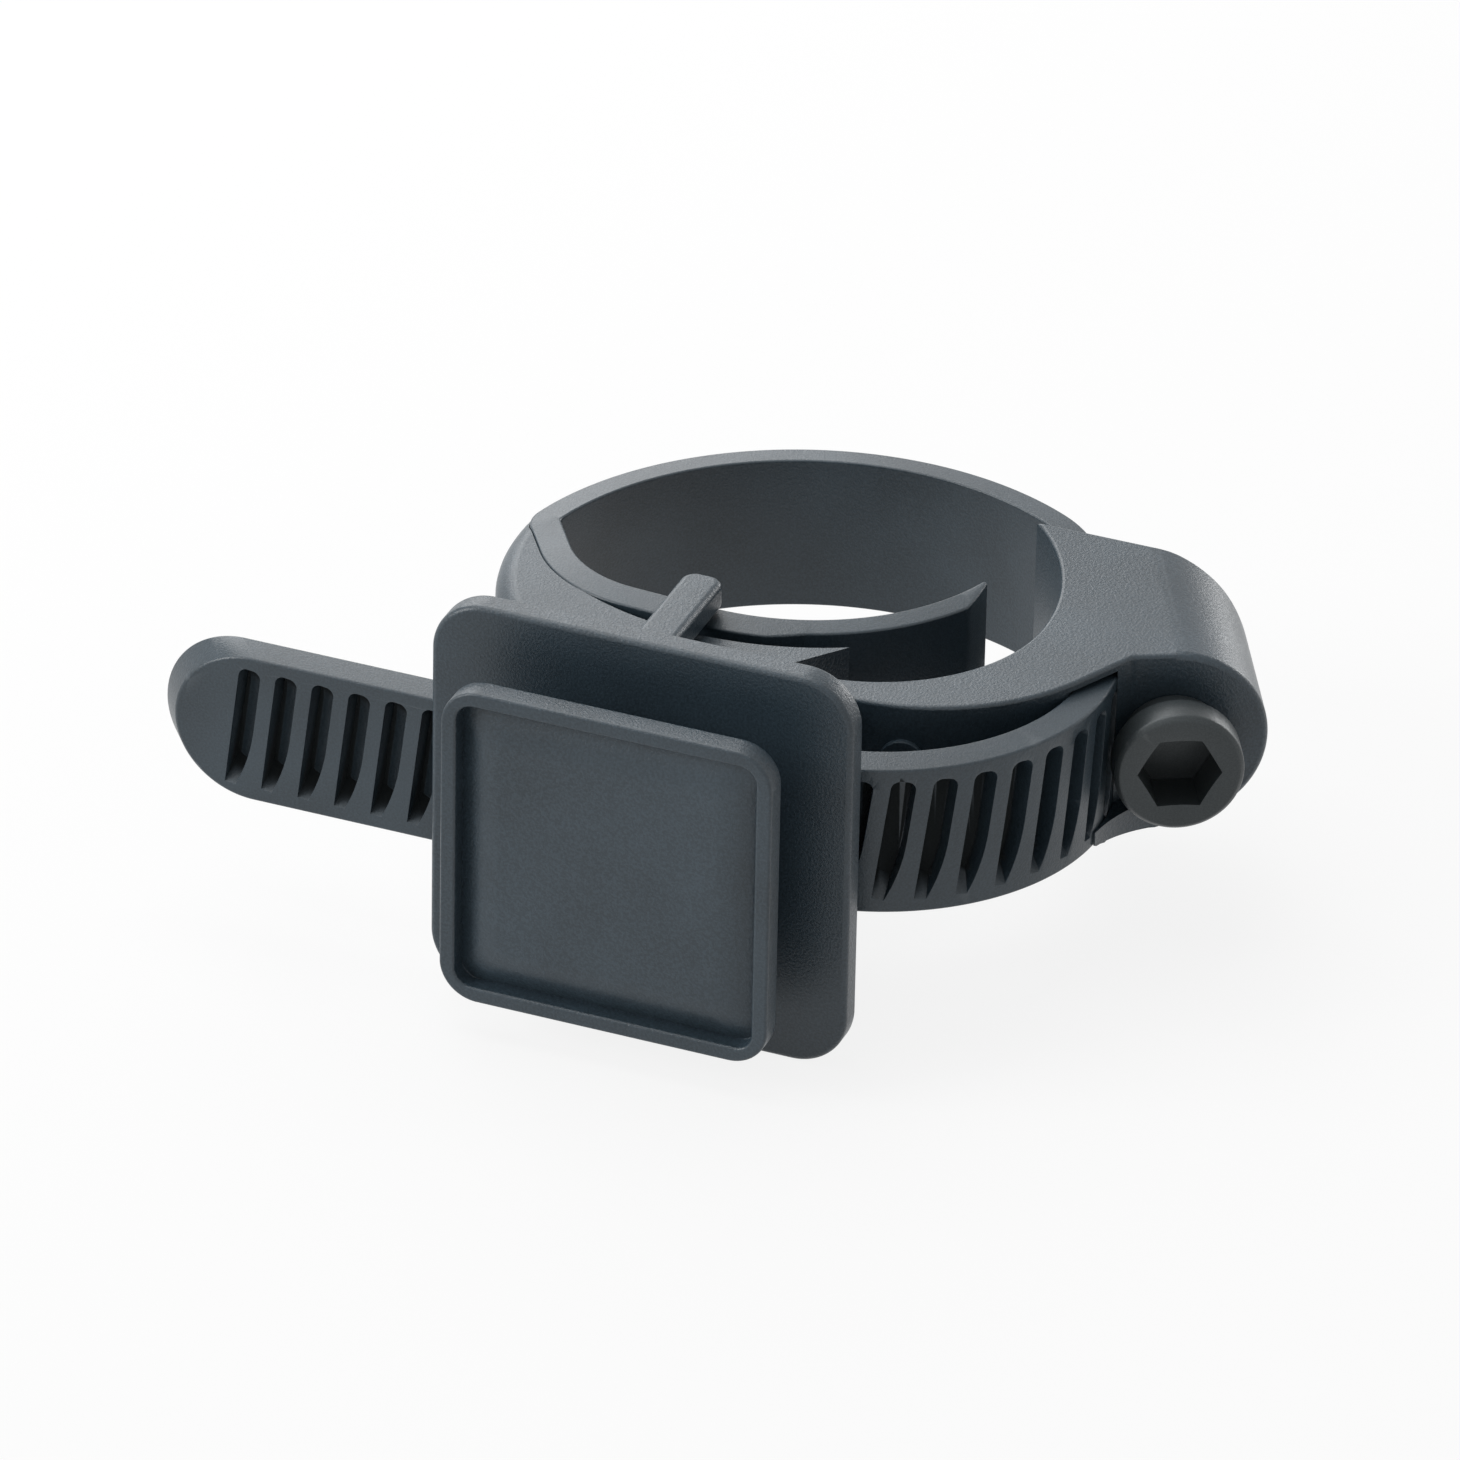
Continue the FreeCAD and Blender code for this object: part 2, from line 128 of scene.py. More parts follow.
class Bench:
    """Operators of the modelling bench: selection, cutting, rounding and finishing of solids."""

    @staticmethod
    def clear() -> None:
        """Leave edit mode and deselect everything."""
        if bpy.context.object and bpy.context.object.mode != "OBJECT":
            bpy.ops.object.mode_set(mode="OBJECT")
        bpy.ops.object.select_all(action="DESELECT")

    @staticmethod
    def pick(piece: bpy.types.Object) -> None:
        """Make one object the active and only selected one.

        Args:
            piece: The object to work on.
        """
        Bench.clear()
        piece.select_set(True)
        bpy.context.view_layer.objects.active = piece

    @staticmethod
    def edit_all(piece: bpy.types.Object) -> None:
        """Enter edit mode with everything on a piece selected.

        Args:
            piece: The object to work on.
        """
        Bench.pick(piece)
        bpy.ops.object.mode_set(mode="EDIT")
        bpy.ops.mesh.select_all(action="SELECT")

    @staticmethod
    def leave_edit() -> None:
        """Go back to object mode."""
        bpy.ops.object.mode_set(mode="OBJECT")

    @staticmethod
    def face_out() -> None:
        """Turn all faces of the piece in edit mode outwards."""
        bpy.ops.mesh.select_all(action="SELECT")
        bpy.ops.mesh.normals_make_consistent(inside=False)

    @staticmethod
    def take_new(name: str) -> bpy.types.Object:
        """Name the primitive that was just added.

        Args:
            name: Name of the new piece and its mesh.

        Returns:
            The new object, with its place applied to its mesh.
        """
        piece = bpy.context.object
        piece.name = name
        piece.data.name = name
        bpy.ops.object.transform_apply(location=True, rotation=True, scale=True)
        return piece

    @staticmethod
    def apply(piece: bpy.types.Object, kind: str, **settings: object) -> None:
        """Add a modifier, set it and apply it.

        Args:
            piece: The object that gets the modifier.
            kind: Blender's modifier type.
            **settings: Values of the modifier's fields.
        """
        Bench.pick(piece)
        modifier = piece.modifiers.new(kind.lower(), kind)
        for key, value in settings.items():
            setattr(modifier, key, value)
        bpy.ops.object.modifier_apply(modifier=modifier.name)

    @staticmethod
    def combine(piece: bpy.types.Object, other: bpy.types.Object, cut: Cut) -> None:
        """Join, cut or trim a solid with another, which is used up.

        Args:
            piece: The solid that stays.
            other: The tool solid.
            cut: What the tool does.
        """
        Bench.apply(piece, "BOOLEAN", object=other, operation=cut.value, solver="EXACT")
        bpy.data.objects.remove(other)

    @staticmethod
    def weld(piece: bpy.types.Object, gap: float) -> None:
        """Merge vertices that lie close together.

        Args:
            piece: The solid.
            gap: Largest distance in millimetres.
        """
        Bench.edit_all(piece)
        bpy.ops.mesh.select_mode(type="VERT")
        bpy.ops.mesh.select_all(action="SELECT")
        bpy.ops.mesh.remove_doubles(threshold=gap * MM)
        bpy.ops.mesh.dissolve_degenerate(threshold=gap / 2 * MM)
        Bench.leave_edit()

    @staticmethod
    def round_edges(piece: bpy.types.Object, radius: float, segments: int = 3, angle: float = 30.0) -> None:
        """Round every edge that is sharper than an angle.

        Args:
            piece: The solid.
            radius: Rounding in millimetres.
            segments: Facets across the rounding.
            angle: Smallest angle of an edge that is rounded, in degrees.
        """
        Bench.apply(piece, "BEVEL", width=radius * MM, segments=segments, limit_method="ANGLE",
                    angle_limit=math.radians(angle), offset_type="OFFSET")

    @staticmethod
    def trim(piece: bpy.types.Object, point: Vector, normal: Vector) -> None:
        """Cut a solid by a plane, remove what lies on the normal's side and close the cut.

        Args:
            piece: The solid.
            point: A point of the plane, in metres.
            normal: Normal of the plane.
        """
        Bench.edit_all(piece)
        bpy.ops.mesh.bisect(plane_co=point, plane_no=normal, clear_outer=True, use_fill=True)
        Bench.leave_edit()

    @staticmethod
    def select_edges(piece: bpy.types.Object, wanted: Callable[[Vector, Vector], bool]) -> None:
        """Select edges by the place of their ends and enter edit mode.

        Args:
            piece: The solid.
            wanted: Test of an edge's two ends, in metres.
        """
        Bench.pick(piece)
        bpy.ops.object.mode_set(mode="EDIT")
        bpy.ops.mesh.select_mode(type="EDGE")
        bpy.ops.mesh.select_all(action="DESELECT")
        Bench.leave_edit()
        points = [vertex.co for vertex in piece.data.vertices]
        for edge in piece.data.edges:
            edge.select = wanted(points[edge.vertices[0]], points[edge.vertices[1]])
        bpy.ops.object.mode_set(mode="EDIT")

    @staticmethod
    def finish(piece: bpy.types.Object) -> None:
        """Clean a solid, turn its faces outwards and shade its rounded edges smoothly.

        Args:
            piece: The solid.
        """
        Bench.edit_all(piece)
        bpy.ops.mesh.remove_doubles(threshold=FINISH_WELD * MM)
        bpy.ops.mesh.dissolve_degenerate(threshold=FINISH_WELD * MM)
        bpy.ops.mesh.delete_loose()
        Bench.face_out()
        Bench.leave_edit()
        bpy.ops.object.shade_smooth_by_angle(angle=SMOOTH_ANGLE)
        Bench.apply(piece, "WEIGHTED_NORMAL", keep_sharp=True, weight=NORMAL_WEIGHT)


class Outline:
    """A closed level outline traced by hand from one vertex, by extruding it and spinning it."""

    def __init__(self, name: str, start: Point, level: float) -> None:
        """Start the outline.

        Args:
            name: Name of the piece that it becomes.
            start: First point, in millimetres.
            level: Height of the outline, in millimetres.
        """
        Bench.clear()
        bpy.ops.mesh.primitive_plane_add(size=MM)
        self.piece = Bench.take_new(name)
        self.here = start
        bpy.ops.object.mode_set(mode="EDIT")
        bpy.ops.mesh.select_mode(type="VERT")
        bpy.ops.mesh.select_all(action="SELECT")
        bpy.ops.mesh.merge(type="CENTER")
        bpy.ops.transform.translate(value=(start[0] * MM, start[1] * MM, level * MM))

    def line(self, end: Point) -> "Outline":
        """Extrude the last vertex to a point.

        Args:
            end: Point in millimetres.

        Returns:
            The outline itself.
        """
        step = ((end[0] - self.here[0]) * MM, (end[1] - self.here[1]) * MM, 0.0)
        bpy.ops.mesh.extrude_region_move(TRANSFORM_OT_translate={"value": step})
        self.here = end
        return self

    def arc(self, centre: Point, degrees: float) -> "Outline":
        """Spin the last vertex round a centre.

        Args:
            centre: Centre of the arc, in millimetres.
            degrees: Turn, positive from +X towards +Y.

        Returns:
            The outline itself.
        """
        angle = math.radians(degrees)
        steps = max(2, round(abs(angle) / ARC_STEP))
        middle = (centre[0] * MM, centre[1] * MM, 0.0)
        bpy.ops.mesh.spin(steps=steps, angle=-angle, center=middle, axis=(0, 0, 1))
        turned = Matrix.Rotation(angle, 2) @ Vector((self.here[0] - centre[0], self.here[1] - centre[1]))
        self.here = (centre[0] + turned.x, centre[1] + turned.y)
        return self

    def prism(self, height: float) -> bpy.types.Object:
        """Fill the outline and raise it to a solid.

        Args:
            height: Height in millimetres.

        Returns:
            The solid.
        """
        bpy.ops.mesh.select_all(action="SELECT")
        bpy.ops.mesh.remove_doubles(threshold=OUTLINE_WELD * MM)
        bpy.ops.mesh.edge_face_add()
        bpy.ops.mesh.select_all(action="SELECT")
        bpy.ops.mesh.extrude_region_move(TRANSFORM_OT_translate={"value": (0, 0, height * MM)})
        Bench.face_out()
        Bench.leave_edit()
        return self.piece

    def loop(self) -> bpy.types.Object:
        """Close the outline without filling it.

        Returns:
            The closed loop of edges.
        """
        bpy.ops.mesh.select_all(action="SELECT")
        bpy.ops.mesh.remove_doubles(threshold=OUTLINE_WELD * MM)
        Bench.leave_edit()
        return self.piece

    def revolve(self, steps: int = FACETS_TURNED) -> bpy.types.Object:
        """Turn the outline about the Y axis to a closed solid.

        Args:
            steps: Facets of a full turn.

        Returns:
            The solid.
        """
        bpy.ops.mesh.select_all(action="SELECT")
        bpy.ops.mesh.spin(steps=steps, angle=2 * math.pi, center=(0, 0, 0), axis=(0, 1, 0))
        bpy.ops.mesh.select_all(action="SELECT")
        bpy.ops.mesh.remove_doubles(threshold=REVOLVE_WELD * MM)
        bpy.ops.mesh.normals_make_consistent(inside=False)
        Bench.leave_edit()
        return self.piece


class NodeBench:
    """Places and links the nodes of a shader tree."""

    def __init__(self, tree: bpy.types.NodeTree) -> None:
        """Take over a tree.

        Args:
            tree: The tree of a material, a world or a group.
        """
        self.tree = tree
        self.column = 0

    def add(self, kind: str, **settings: object) -> bpy.types.Node:
        """Add a node to the right of the last one.

        Args:
            kind: Type of the node, without the ShaderNode prefix.
            **settings: Values of the node's own fields.

        Returns:
            The node.
        """
        node = self.tree.nodes.new("ShaderNode" + kind)
        node.location = (self.column, 0)
        self.column += NODE_SPACING
        for key, value in settings.items():
            setattr(node, key, value)
        return node

    def remap(self, reach: Point, **settings: object) -> bpy.types.Node:
        """Add a node that maps a range of values to 0 and 1.

        Args:
            reach: Values that become 0 and 1.
            **settings: Values of the node's own fields.

        Returns:
            The node.
        """
        node = self.add("MapRange", **settings)
        node.inputs["From Min"].default_value, node.inputs["From Max"].default_value = reach
        return node

    def noise(self, scale: float, detail: float) -> bpy.types.Node:
        """Add a noise texture.

        Args:
            scale: Cells per metre.
            detail: Octaves.

        Returns:
            The node.
        """
        node = self.add("TexNoise")
        node.inputs["Scale"].default_value = scale
        node.inputs["Detail"].default_value = detail
        return node

    def link(self, source: bpy.types.NodeSocket, target: bpy.types.NodeSocket) -> None:
        """Link an output to an input."""
        self.tree.links.new(source, target)


class GroupBuilder:
    """Shader node groups that the finishes share, each built once."""

    GRAIN_REACH = (0.34, 0.70)
    GRAIN_DETAIL = 3.0
    GRAIN_ROUGHNESS = 0.62
    CLOUD_REACH = (0.3, 0.7)
    CLOUD_SCALE = 130.0
    CLOUD_DETAIL = 2.0
    CLOUD_SHARE = 0.3
    CREST_REACH = (0.56, 0.72)
    # Pointiness range, colour and roughness of the painted shade in concave corners and slot floors.
    CORNER_REACH = (0.496, 0.47)
    PAINTED_CORNER_SHADE = (0.003, 0.005, 0.005, 1.0)
    CORNER_ROUGHNESS = 1.0
    PATCH_SCALE = 420.0
    PATCH_DETAIL = 4.0
    RUBBED_ROUGHNESS = 0.32

    @staticmethod
    def start(
        name: str, inputs: dict[str, str], outputs: dict[str, str]
    ) -> tuple[NodeBench, bpy.types.Node, bpy.types.Node]:
        """Make an empty group with named sockets.

        Args:
            name: Name of the group.
            inputs: Socket types by name.
            outputs: Socket types by name.

        Returns:
            The bench of the new group, its input node and its output node.
        """
        tree = bpy.data.node_groups.new(name, "ShaderNodeTree")
        for side, sockets in (("INPUT", inputs), ("OUTPUT", outputs)):
            for label, kind in sockets.items():
                tree.interface.new_socket(label, in_out=side, socket_type="NodeSocket" + kind)
        entry = tree.nodes.new("NodeGroupInput")
        leave = tree.nodes.new("NodeGroupOutput")
        entry.location = (-300, 0)
        leave.location = (1800, 0)
        return NodeBench(tree), entry, leave

    @staticmethod
    def moulded_grain() -> bpy.types.NodeTree:
        """Fine speckle of a moulded or blasted surface, with broad cloudy shade.

        Returns:
            The group.
        """
        name = "moulded_grain"
        if name in bpy.data.node_groups:
            return bpy.data.node_groups[name]
        bench, entry, leave = GroupBuilder.start(
            name,
            {"Shade": "Color", "Fleck": "Color", "Density": "Float", "Contrast": "Float",
             "Smooth": "Float", "Rough": "Float"},
            {"Color": "Color", "Roughness": "Float", "Height": "Float"},
        )
        place = bench.add("TexCoord")
        fine = bench.add("TexNoise")
        fine.inputs["Detail"].default_value = GroupBuilder.GRAIN_DETAIL
        fine.inputs["Roughness"].default_value = GroupBuilder.GRAIN_ROUGHNESS
        cloud = bench.noise(GroupBuilder.CLOUD_SCALE, GroupBuilder.CLOUD_DETAIL)
        grain = bench.remap(GroupBuilder.GRAIN_REACH, interpolation_type="SMOOTHSTEP")
        weight = bench.add("Math", operation="MULTIPLY")
        haze = bench.remap(GroupBuilder.CLOUD_REACH)
        haze.inputs["To Max"].default_value = GroupBuilder.CLOUD_SHARE
        total = bench.add("Math", operation="ADD", use_clamp=True)
        tint = bench.add("Mix", data_type="RGBA")
        gloss = bench.add("MapRange")
        bench.link(place.outputs["Object"], fine.inputs["Vector"])
        bench.link(place.outputs["Object"], cloud.inputs["Vector"])
        bench.link(entry.outputs["Density"], fine.inputs["Scale"])
        bench.link(fine.outputs["Fac"], grain.inputs["Value"])
        bench.link(grain.outputs["Result"], weight.inputs[0])
        bench.link(entry.outputs["Contrast"], weight.inputs[1])
        bench.link(cloud.outputs["Fac"], haze.inputs["Value"])
        bench.link(weight.outputs["Value"], total.inputs[0])
        bench.link(haze.outputs["Result"], total.inputs[1])
        bench.link(total.outputs["Value"], tint.inputs["Factor"])
        bench.link(entry.outputs["Shade"], tint.inputs["A"])
        bench.link(entry.outputs["Fleck"], tint.inputs["B"])
        bench.link(total.outputs["Value"], gloss.inputs["Value"])
        bench.link(entry.outputs["Rough"], gloss.inputs["To Min"])
        bench.link(entry.outputs["Smooth"], gloss.inputs["To Max"])
        bench.link(tint.outputs["Result"], leave.inputs["Color"])
        bench.link(gloss.outputs["Result"], leave.inputs["Roughness"])
        bench.link(grain.outputs["Result"], leave.inputs["Height"])
        return bench.tree

    @staticmethod
    def edge_rub() -> bpy.types.NodeTree:
        """Lighter, smoother line on outer edges, partly edge wear and partly painted highlight, and painted
        shade in inner corners.

        Returns:
            The group.
        """
        name = "edge_rub"
        if name in bpy.data.node_groups:
            return bpy.data.node_groups[name]
        bench, entry, leave = GroupBuilder.start(
            name,
            {"Color": "Color", "Worn Highlight": "Color", "Amount": "Float", "Hollow": "Float", "Roughness": "Float"},
            {"Color": "Color", "Roughness": "Float"},
        )
        surface = bench.add("NewGeometry")
        # Convex edges, found by pointiness, take the lighter edge colour: partly edge wear, partly painted
        # highlight.
        crest = bench.remap(GroupBuilder.CREST_REACH, interpolation_type="SMOOTHSTEP")
        # Concave corners, such as slot floors, darken towards the corner colour: painted shade, made matt as
        # well.
        corner = bench.remap(GroupBuilder.CORNER_REACH, interpolation_type="SMOOTHSTEP")
        sunk = bench.add("Math", operation="MULTIPLY", use_clamp=True)
        painted_shade_mix = bench.add("Mix", data_type="RGBA")
        painted_shade_mix.inputs["B"].default_value = GroupBuilder.PAINTED_CORNER_SHADE
        matt = bench.add("Mix", data_type="FLOAT")
        matt.inputs["B"].default_value = GroupBuilder.CORNER_ROUGHNESS
        place = bench.add("TexCoord")
        patch = bench.noise(GroupBuilder.PATCH_SCALE, GroupBuilder.PATCH_DETAIL)
        broken = bench.add("Math", operation="MULTIPLY")
        share = bench.add("Math", operation="MULTIPLY", use_clamp=True)
        tint = bench.add("Mix", data_type="RGBA")
        polish = bench.add("Mix", data_type="FLOAT")
        polish.inputs["B"].default_value = GroupBuilder.RUBBED_ROUGHNESS
        bench.link(surface.outputs["Pointiness"], crest.inputs["Value"])
        bench.link(place.outputs["Object"], patch.inputs["Vector"])
        bench.link(crest.outputs["Result"], broken.inputs[0])
        bench.link(patch.outputs["Fac"], broken.inputs[1])
        bench.link(broken.outputs["Value"], share.inputs[0])
        bench.link(entry.outputs["Amount"], share.inputs[1])
        bench.link(share.outputs["Value"], tint.inputs["Factor"])
        bench.link(entry.outputs["Color"], tint.inputs["A"])
        bench.link(entry.outputs["Worn Highlight"], tint.inputs["B"])
        bench.link(share.outputs["Value"], polish.inputs["Factor"])
        bench.link(entry.outputs["Roughness"], polish.inputs["A"])
        bench.link(surface.outputs["Pointiness"], corner.inputs["Value"])
        bench.link(corner.outputs["Result"], sunk.inputs[0])
        bench.link(entry.outputs["Hollow"], sunk.inputs[1])
        bench.link(sunk.outputs["Value"], painted_shade_mix.inputs["Factor"])
        bench.link(tint.outputs["Result"], painted_shade_mix.inputs["A"])
        bench.link(painted_shade_mix.outputs["Result"], leave.inputs["Color"])
        bench.link(sunk.outputs["Value"], matt.inputs["Factor"])
        bench.link(polish.outputs["Result"], matt.inputs["A"])
        bench.link(matt.outputs["Result"], leave.inputs["Roughness"])
        return bench.tree


@dataclass(frozen=True)
class Finish:
    """A grained surface whose outer edges are lighter, partly edge wear and partly painted highlight, with
    painted shade in hollows where that is set; lengths of the bump are millimetres.
    """

    name: str
    shade: Shade
    fleck: Shade
    # Colour of the lighter outer edges: partly edge wear, partly painted highlight.
    worn_highlight: Shade
    density: float
    contrast: float
    smooth: float
    rough: float
    # Share of that edge colour: partly edge wear, partly painted highlight.
    wear_and_highlight: float
    bump: float
    # Strength of the painted shade in concave corners and slot floors.
    hollow: float = 0.0
    metallic: float = 0.0

    def material(self) -> bpy.types.Material:
        """Build the finish as a material, or fetch it when it is already there.

        Returns:
            The material.
        """
        if self.name in bpy.data.materials:
            return bpy.data.materials[self.name]
        material = bpy.data.materials.new(self.name)
        material.use_nodes = True
        bench = NodeBench(material.node_tree)
        shader = material.node_tree.nodes["Principled BSDF"]
        shader.inputs["Metallic"].default_value = self.metallic
        grain = bench.add("Group", node_tree=GroupBuilder.moulded_grain())
        grain.inputs["Shade"].default_value = (*self.shade, 1.0)
        grain.inputs["Fleck"].default_value = (*self.fleck, 1.0)
        grain.inputs["Density"].default_value = self.density
        grain.inputs["Contrast"].default_value = self.contrast
        grain.inputs["Smooth"].default_value = self.smooth
        grain.inputs["Rough"].default_value = self.rough
        wear_and_highlight = bench.add("Group", node_tree=GroupBuilder.edge_rub())
        wear_and_highlight.inputs["Worn Highlight"].default_value = (*self.worn_highlight, 1.0)
        wear_and_highlight.inputs["Amount"].default_value = self.wear_and_highlight
        wear_and_highlight.inputs["Hollow"].default_value = self.hollow
        relief = bench.add("Bump")
        relief.inputs["Distance"].default_value = self.bump * MM
        bench.link(grain.outputs["Color"], wear_and_highlight.inputs["Color"])
        bench.link(grain.outputs["Roughness"], wear_and_highlight.inputs["Roughness"])
        bench.link(grain.outputs["Height"], relief.inputs["Height"])
        bench.link(wear_and_highlight.outputs["Color"], shader.inputs["Base Color"])
        bench.link(wear_and_highlight.outputs["Roughness"], shader.inputs["Roughness"])
        bench.link(relief.outputs["Normal"], shader.inputs["Normal"])
        return material

    def dress(self, piece: bpy.types.Object) -> None:
        """Give a piece this finish in all its material slots.

        Args:
            piece: The piece or CAD node.
        """
        if not piece.material_slots:
            piece.data.materials.append(self.material())
        for slot in piece.material_slots:
            slot.material = self.material()


# Each finish's edge colour and edge amount lighten outer edges: partly edge wear, partly painted highlight.
BODY_FINISH = Finish("body_nylon", shade=(0.018, 0.029, 0.038), fleck=(0.052, 0.080, 0.104),
                     worn_highlight=(0.13, 0.15, 0.17), density=5200.0, contrast=0.42, smooth=0.24, rough=0.38,
                     wear_and_highlight=0.60, bump=0.012)
# The strap's hollow amount paints shade into its slot floors and inner corners.
STRAP_FINISH = Finish("strap_nylon", shade=(0.020, 0.031, 0.040), fleck=(0.057, 0.086, 0.110),
                      worn_highlight=(0.14, 0.16, 0.18), density=6200.0, contrast=0.30, smooth=0.24, rough=0.36,
                      wear_and_highlight=0.70, bump=0.008, hollow=0.92)
SCREW_FINISH = Finish("blackened_steel", shade=(0.022, 0.028, 0.030), fleck=(0.055, 0.065, 0.070),
                      worn_highlight=(0.30, 0.31, 0.32), density=9000.0, contrast=0.35, smooth=0.30, rough=0.44,
                      wear_and_highlight=0.2, bump=0.004, metallic=0.25)
CLIP_FINISH = Finish("spring_steel", shade=(0.34, 0.34, 0.35), fleck=(0.48, 0.48, 0.49),
                     worn_highlight=(0.7, 0.7, 0.7), density=8000.0, contrast=0.4, smooth=0.22, rough=0.36,
                     wear_and_highlight=0.3, bump=0.003, metallic=1.0)


@dataclass
class PhotoCamera:
    """Long-lens camera at the photograph's place; angles in degrees, lengths in millimetres."""

    azimuth: float = 21.516
    elevation: float = 30.570
    roll: float = 1.142
    distance: float = 800.0
    lens: float = 301.81
    sensor: float = 36.0
    nearest: float = 10.0
    aim: tuple[float, float, float] = (1.556, -17.398, 6.146)

    def build(self) -> bpy.types.Object:
        """Place the camera and make it the scene's camera.

        Returns:
            The camera.
        """
        azimuth = math.radians(self.azimuth)
        elevation = math.radians(self.elevation)
        roll = math.radians(self.roll)
        ahead = Vector((-math.sin(azimuth) * math.cos(elevation), math.cos(azimuth) * math.cos(elevation),
                        -math.sin(elevation)))
        level = Vector((math.cos(azimuth), math.sin(azimuth), 0.0))
        upright = level.cross(ahead)
        right = math.cos(roll) * level + math.sin(roll) * upright
        up = math.cos(roll) * upright - math.sin(roll) * level
        data = bpy.data.cameras.new("photo_camera")
        data.sensor_width = self.sensor
        data.lens = self.lens
        data.clip_start = self.nearest * MM
        camera = bpy.data.objects.new("photo_camera", data)
        bpy.context.collection.objects.link(camera)
        turn = Matrix((right, up, -ahead)).transposed().to_4x4()
        place = Vector(self.aim) * MM - ahead * self.distance * MM
        camera.matrix_world = Matrix.Translation(place) @ turn
        bpy.context.scene.camera = camera
        return camera


@dataclass(frozen=True)
class SoftBox:
    """Square area lamp aimed at the part; places and sizes in metres, power in watts."""

    name: str
    place: tuple[float, float, float]
    size: float
    power: float

    def build(self) -> bpy.types.Object:
        """Hang the lamp.

        Returns:
            The lamp.
        """
        data = bpy.data.lights.new(self.name, "AREA")
        data.shape = "SQUARE"
        data.size = self.size
        data.energy = self.power
        lamp = bpy.data.objects.new(self.name, data)
        bpy.context.collection.objects.link(lamp)
        lamp.location = self.place
        lamp.rotation_euler = (-Vector(self.place)).to_track_quat("-Z", "Y").to_euler()
        return lamp


@dataclass
class Studio:
    """White floor, white surroundings and soft lamps; lengths in metres."""

    floor_size: float = 6.0
    floor_drop: float = 0.00005
    floor_shade: Shade = (0.8, 0.8, 0.8)
    ambient: float = 0.24
    shadow_share: float = 0.14
    lamps: tuple[SoftBox, ...] = (
        SoftBox("overhead_box", (-0.14, 0.02, 0.42), 0.40, 1.25),
        SoftBox("back_box", (-0.20, 0.24, 0.17), 0.22, 0.42),
        SoftBox("left_box", (-0.52, -0.36, 0.30), 0.26, 2.2),
        SoftBox("rim_box", (0.16, 0.45, 0.07), 0.16, 0.50),
    )

    def white_seen(self, bench: NodeBench) -> bpy.types.NodeSocket:
        """Mask of the rays that see the white surroundings: camera, mirror and glass rays.

        Args:
            bench: Bench of the tree that uses the mask.

        Returns:
            The mask's socket.
        """
        rays = bench.add("LightPath")
        glossy = bench.add("Math", operation="MAXIMUM")
        mask = bench.add("Math", operation="MAXIMUM")
        bench.link(rays.outputs["Is Glossy Ray"], glossy.inputs[0])
        bench.link(rays.outputs["Is Transmission Ray"], glossy.inputs[1])
        bench.link(rays.outputs["Is Camera Ray"], mask.inputs[0])
        bench.link(glossy.outputs["Value"], mask.inputs[1])
        return mask.outputs["Value"]

    def build_world(self) -> None:
        """Light the part from all round, and show white behind it."""
        world = bpy.data.worlds.new("white_surround")
        world.use_nodes = True
        bpy.context.scene.world = world
        bench = NodeBench(world.node_tree)
        sky = world.node_tree.nodes["Background"]
        sky.inputs["Color"].default_value = (1.0, 1.0, 1.0, 1.0)
        level = bench.add("MapRange")
        level.inputs["To Min"].default_value = self.ambient
        level.inputs["To Max"].default_value = 1.0
        bench.link(self.white_seen(bench), level.inputs["Value"])
        bench.link(level.outputs["Result"], sky.inputs["Strength"])

    def build_floor(self, level: float) -> bpy.types.Object:
        """Lay the floor, which shows white with a faint shadow.

        Args:
            level: Height of the part's lowest point, in metres.

        Returns:
            The floor.
        """
        Bench.clear()
        bpy.ops.mesh.primitive_plane_add(size=self.floor_size, location=(0, 0, level - self.floor_drop))
        floor = Bench.take_new("floor")
        material = bpy.data.materials.new("white_floor")
        material.use_nodes = True
        tree = material.node_tree
        bench = NodeBench(tree)
        tree.nodes.remove(tree.nodes["Principled BSDF"])
        paper = bench.add("BsdfDiffuse")
        paper.inputs["Color"].default_value = (*self.floor_shade, 1.0)
        glow = bench.add("Emission")
        glow.inputs["Strength"].default_value = 1.0
        share = bench.add("MapRange")
        share.inputs["To Max"].default_value = 1.0 - self.shadow_share
        mix = bench.add("MixShader")
        bench.link(self.white_seen(bench), share.inputs["Value"])
        bench.link(share.outputs["Result"], mix.inputs["Fac"])
        bench.link(paper.outputs["BSDF"], mix.inputs[1])
        bench.link(glow.outputs["Emission"], mix.inputs[2])
        bench.link(mix.outputs["Shader"], tree.nodes["Material Output"].inputs["Surface"])
        floor.data.materials.append(material)
        floor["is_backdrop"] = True
        return floor

    def build(self, level: float) -> None:
        """Set up the whole studio.

        Args:
            level: Height of the part's lowest point, in metres.
        """
        bpy.context.scene.view_settings.view_transform = "Standard"
        self.build_world()
        self.build_floor(level)
        for lamp in self.lamps:
            lamp.build()


@dataclass(frozen=True)
class Run:
    """One straight run (turn 0) or arc of the strap's course; size is its length or radius."""

    start: Point
    heading: float
    size: float
    turn: float

    @property
    def length(self) -> float:
        """Length along the run."""
        return self.size if self.turn == 0 else self.size * math.radians(abs(self.turn))

    @property
    def centre(self) -> Point:
        """Centre of an arc."""
        return polar(self.size, self.heading + math.copysign(90, self.turn), self.start)

    def at(self, distance: float, offset: float = 0.0) -> Point:
        """Point on the run.

        Args:
            distance: Distance along it.
            offset: Distance to the right of it.

        Returns:
            The point.
        """
        heading = self.heading + self.turn * distance / self.length
        if self.turn == 0:
            point = polar(distance, self.heading, self.start)
        else:
            point = polar(self.size, heading - math.copysign(90, self.turn), self.centre)
        return polar(offset, heading - 90, point)


